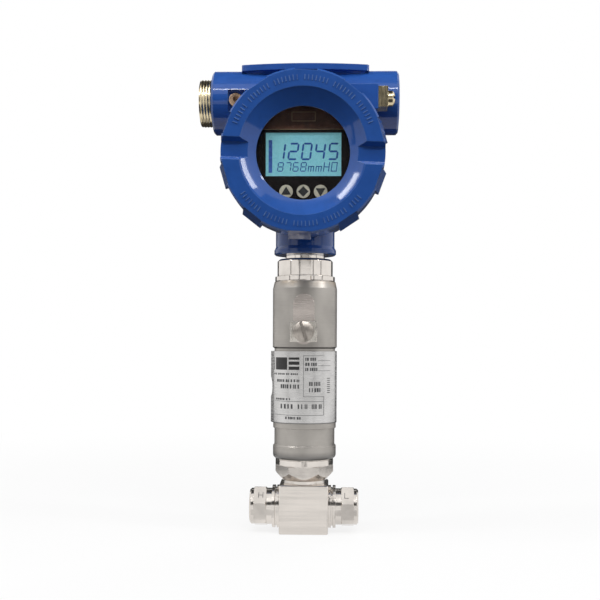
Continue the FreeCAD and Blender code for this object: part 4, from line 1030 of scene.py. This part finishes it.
def add_lamp(name, toward, distance, size, level, in_gloss):
    """A softbox that looks at the head from that direction.

    At level 1 a matt surface that faces it shows its own colour.
    """
    data = bpy.data.lights.new(name, "AREA")
    data.shape = "RECTANGLE"
    data.size, data.size_y = size
    data.energy = level * (math.pi * distance) ** 2
    lamp = bpy.data.objects.new(name, data)
    bpy.context.scene.collection.objects.link(lamp)
    out = Vector(toward).normalized()
    lamp.location = HEAD + out * distance
    lamp.rotation_euler = (-out).to_track_quat("-Z", "Y").to_euler()
    lamp.visible_glossy = in_gloss


# Cards in metres: name, shade, centre, and half its size across and up.
DARK_CARDS = (
    ("card_front", 0.02, (0, -0.62, 0.33), (0.32, 0, 0), (0, 0, 0.13)),
    ("card_low", 0.02, (0, -0.24, 0.115), (0.26, 0, 0), (0, 0.18, 0)),
    ("card_back", 0.02, (0, 0.30, 0.004), (0.42, 0, 0), (0, 0.20, 0)),
    ("card_behind", 0.04, (0, 0.50, 0.22), (0.42, 0, 0), (0, 0, 0.22)),
    ("card_top", 0.02, (0, -0.02, 0.42), (0.14, 0, 0), (0, 0.10, 0)),
    ("card_high", 0.04, (0, 0.42, 0.78), (0.5, 0, 0), (0, 0.34, 0)),
)
PALE_CARDS = (
    ("card_middle", 0.42, (0.005, -0.34, 0.004), (0.05, 0, 0), (0, 0.15, 0)),
    ("card_high_port_floor", 0.72, (-0.034, -0.034, 0.002), (0.018, 0, 0), (0, 0.02, 0)),
    ("card_low_port_floor", 0.66, (0.034, -0.034, 0.002), (0.018, 0, 0), (0, 0.02, 0)),
    ("card_high_port", 1.0, (-0.034, -0.035, 0.055), (0.018, 0, 0), (0, 0.03, 0)),
    ("card_low_port", 1.0, (0.034, -0.035, 0.055), (0.018, 0, 0), (0, 0.03, 0)),
)
# Four upright cards stand round the body, at these angles from the front.
UPRIGHT_ANGLES = (-59, -20, 35, 70)
UPRIGHT_SHADE = 0.05
UPRIGHT_DISTANCE = 0.6
UPRIGHT_HALF_WIDTH = 0.018
UPRIGHT_HALF_HEIGHT = 0.12


def add_card(name, shade, centre, across, up):
    """A sheet of one even shade that only gloss, metal and glass see."""
    material = bpy.data.materials.new(name)
    material.use_nodes = True
    shader = material.node_tree.nodes["Principled BSDF"]
    shader.inputs["Base Color"].default_value = (0, 0, 0, 1)
    shader.inputs["Emission Color"].default_value = (shade, shade, shade, 1)
    shader.inputs["Emission Strength"].default_value = 1.0
    shader.inputs["Roughness"].default_value = MATT
    card = add_stage_plane(name, centre, across, up, material)
    card.visible_camera = False
    card.visible_diffuse = False
    card.visible_shadow = False


def add_cards():
    """Cards out of the picture, which give gloss paint and metal their dark and pale parts."""
    for card in DARK_CARDS:
        add_card(*card)
    for number, degrees in enumerate(UPRIGHT_ANGLES):
        angle = math.radians(degrees)
        side = Vector((math.cos(angle), math.sin(angle), 0)) * UPRIGHT_HALF_WIDTH
        x, y = UPRIGHT_DISTANCE * math.sin(angle), -UPRIGHT_DISTANCE * math.cos(angle)
        # Their middle stands as high as half their height, so that their feet meet the floor.
        centre, up = (x, y, UPRIGHT_HALF_HEIGHT), (0, 0, UPRIGHT_HALF_HEIGHT)
        add_card(f"card_upright_{number}", UPRIGHT_SHADE, centre, side, up)
    for card in PALE_CARDS:
        add_card(*card)


# The photograph's camera: lens and sensor in millimetres, shifts in shares of the picture.
EYE = Vector((0.0158, -0.5028, 0.098))
YAW = math.radians(1.8)
ROLL = math.radians(0.25)
SENSOR_WIDTH = 36.0
LENS = 57.0
SHIFT_X, SHIFT_Y = -0.008, 0.075
CLIP_START, CLIP_END = 0.01, 50.0


def add_camera():
    """At the photograph's viewing angle: level with the tube, from the front."""
    data = bpy.data.cameras.new("camera")
    data.sensor_width = SENSOR_WIDTH
    data.lens = LENS
    data.shift_x, data.shift_y = SHIFT_X, SHIFT_Y
    data.clip_start, data.clip_end = CLIP_START, CLIP_END
    camera = bpy.data.objects.new("camera", data)
    bpy.context.scene.collection.objects.link(camera)
    upright = Matrix.Rotation(math.pi / 2, 4, "X")
    turn = Matrix.Rotation(YAW, 4, "Z") @ upright @ Matrix.Rotation(ROLL, 4, "Z")
    camera.matrix_world = Matrix.Translation(EYE) @ turn
    bpy.context.scene.camera = camera


def main():
    """Dresses the CAD nodes, adds the print and threads, and sets up the studio."""
    dress_nodes()
    add_readout()
    add_faceplate_print()
    add_key_marks()
    add_cover_marks()
    add_label_print()
    add_threads()
    add_port_marks()
    add_floor()
    add_world()
    for lamp in LAMPS:
        add_lamp(*lamp)
    add_cards()
    add_camera()
    bpy.context.scene.view_settings.view_transform = "Standard"


main()
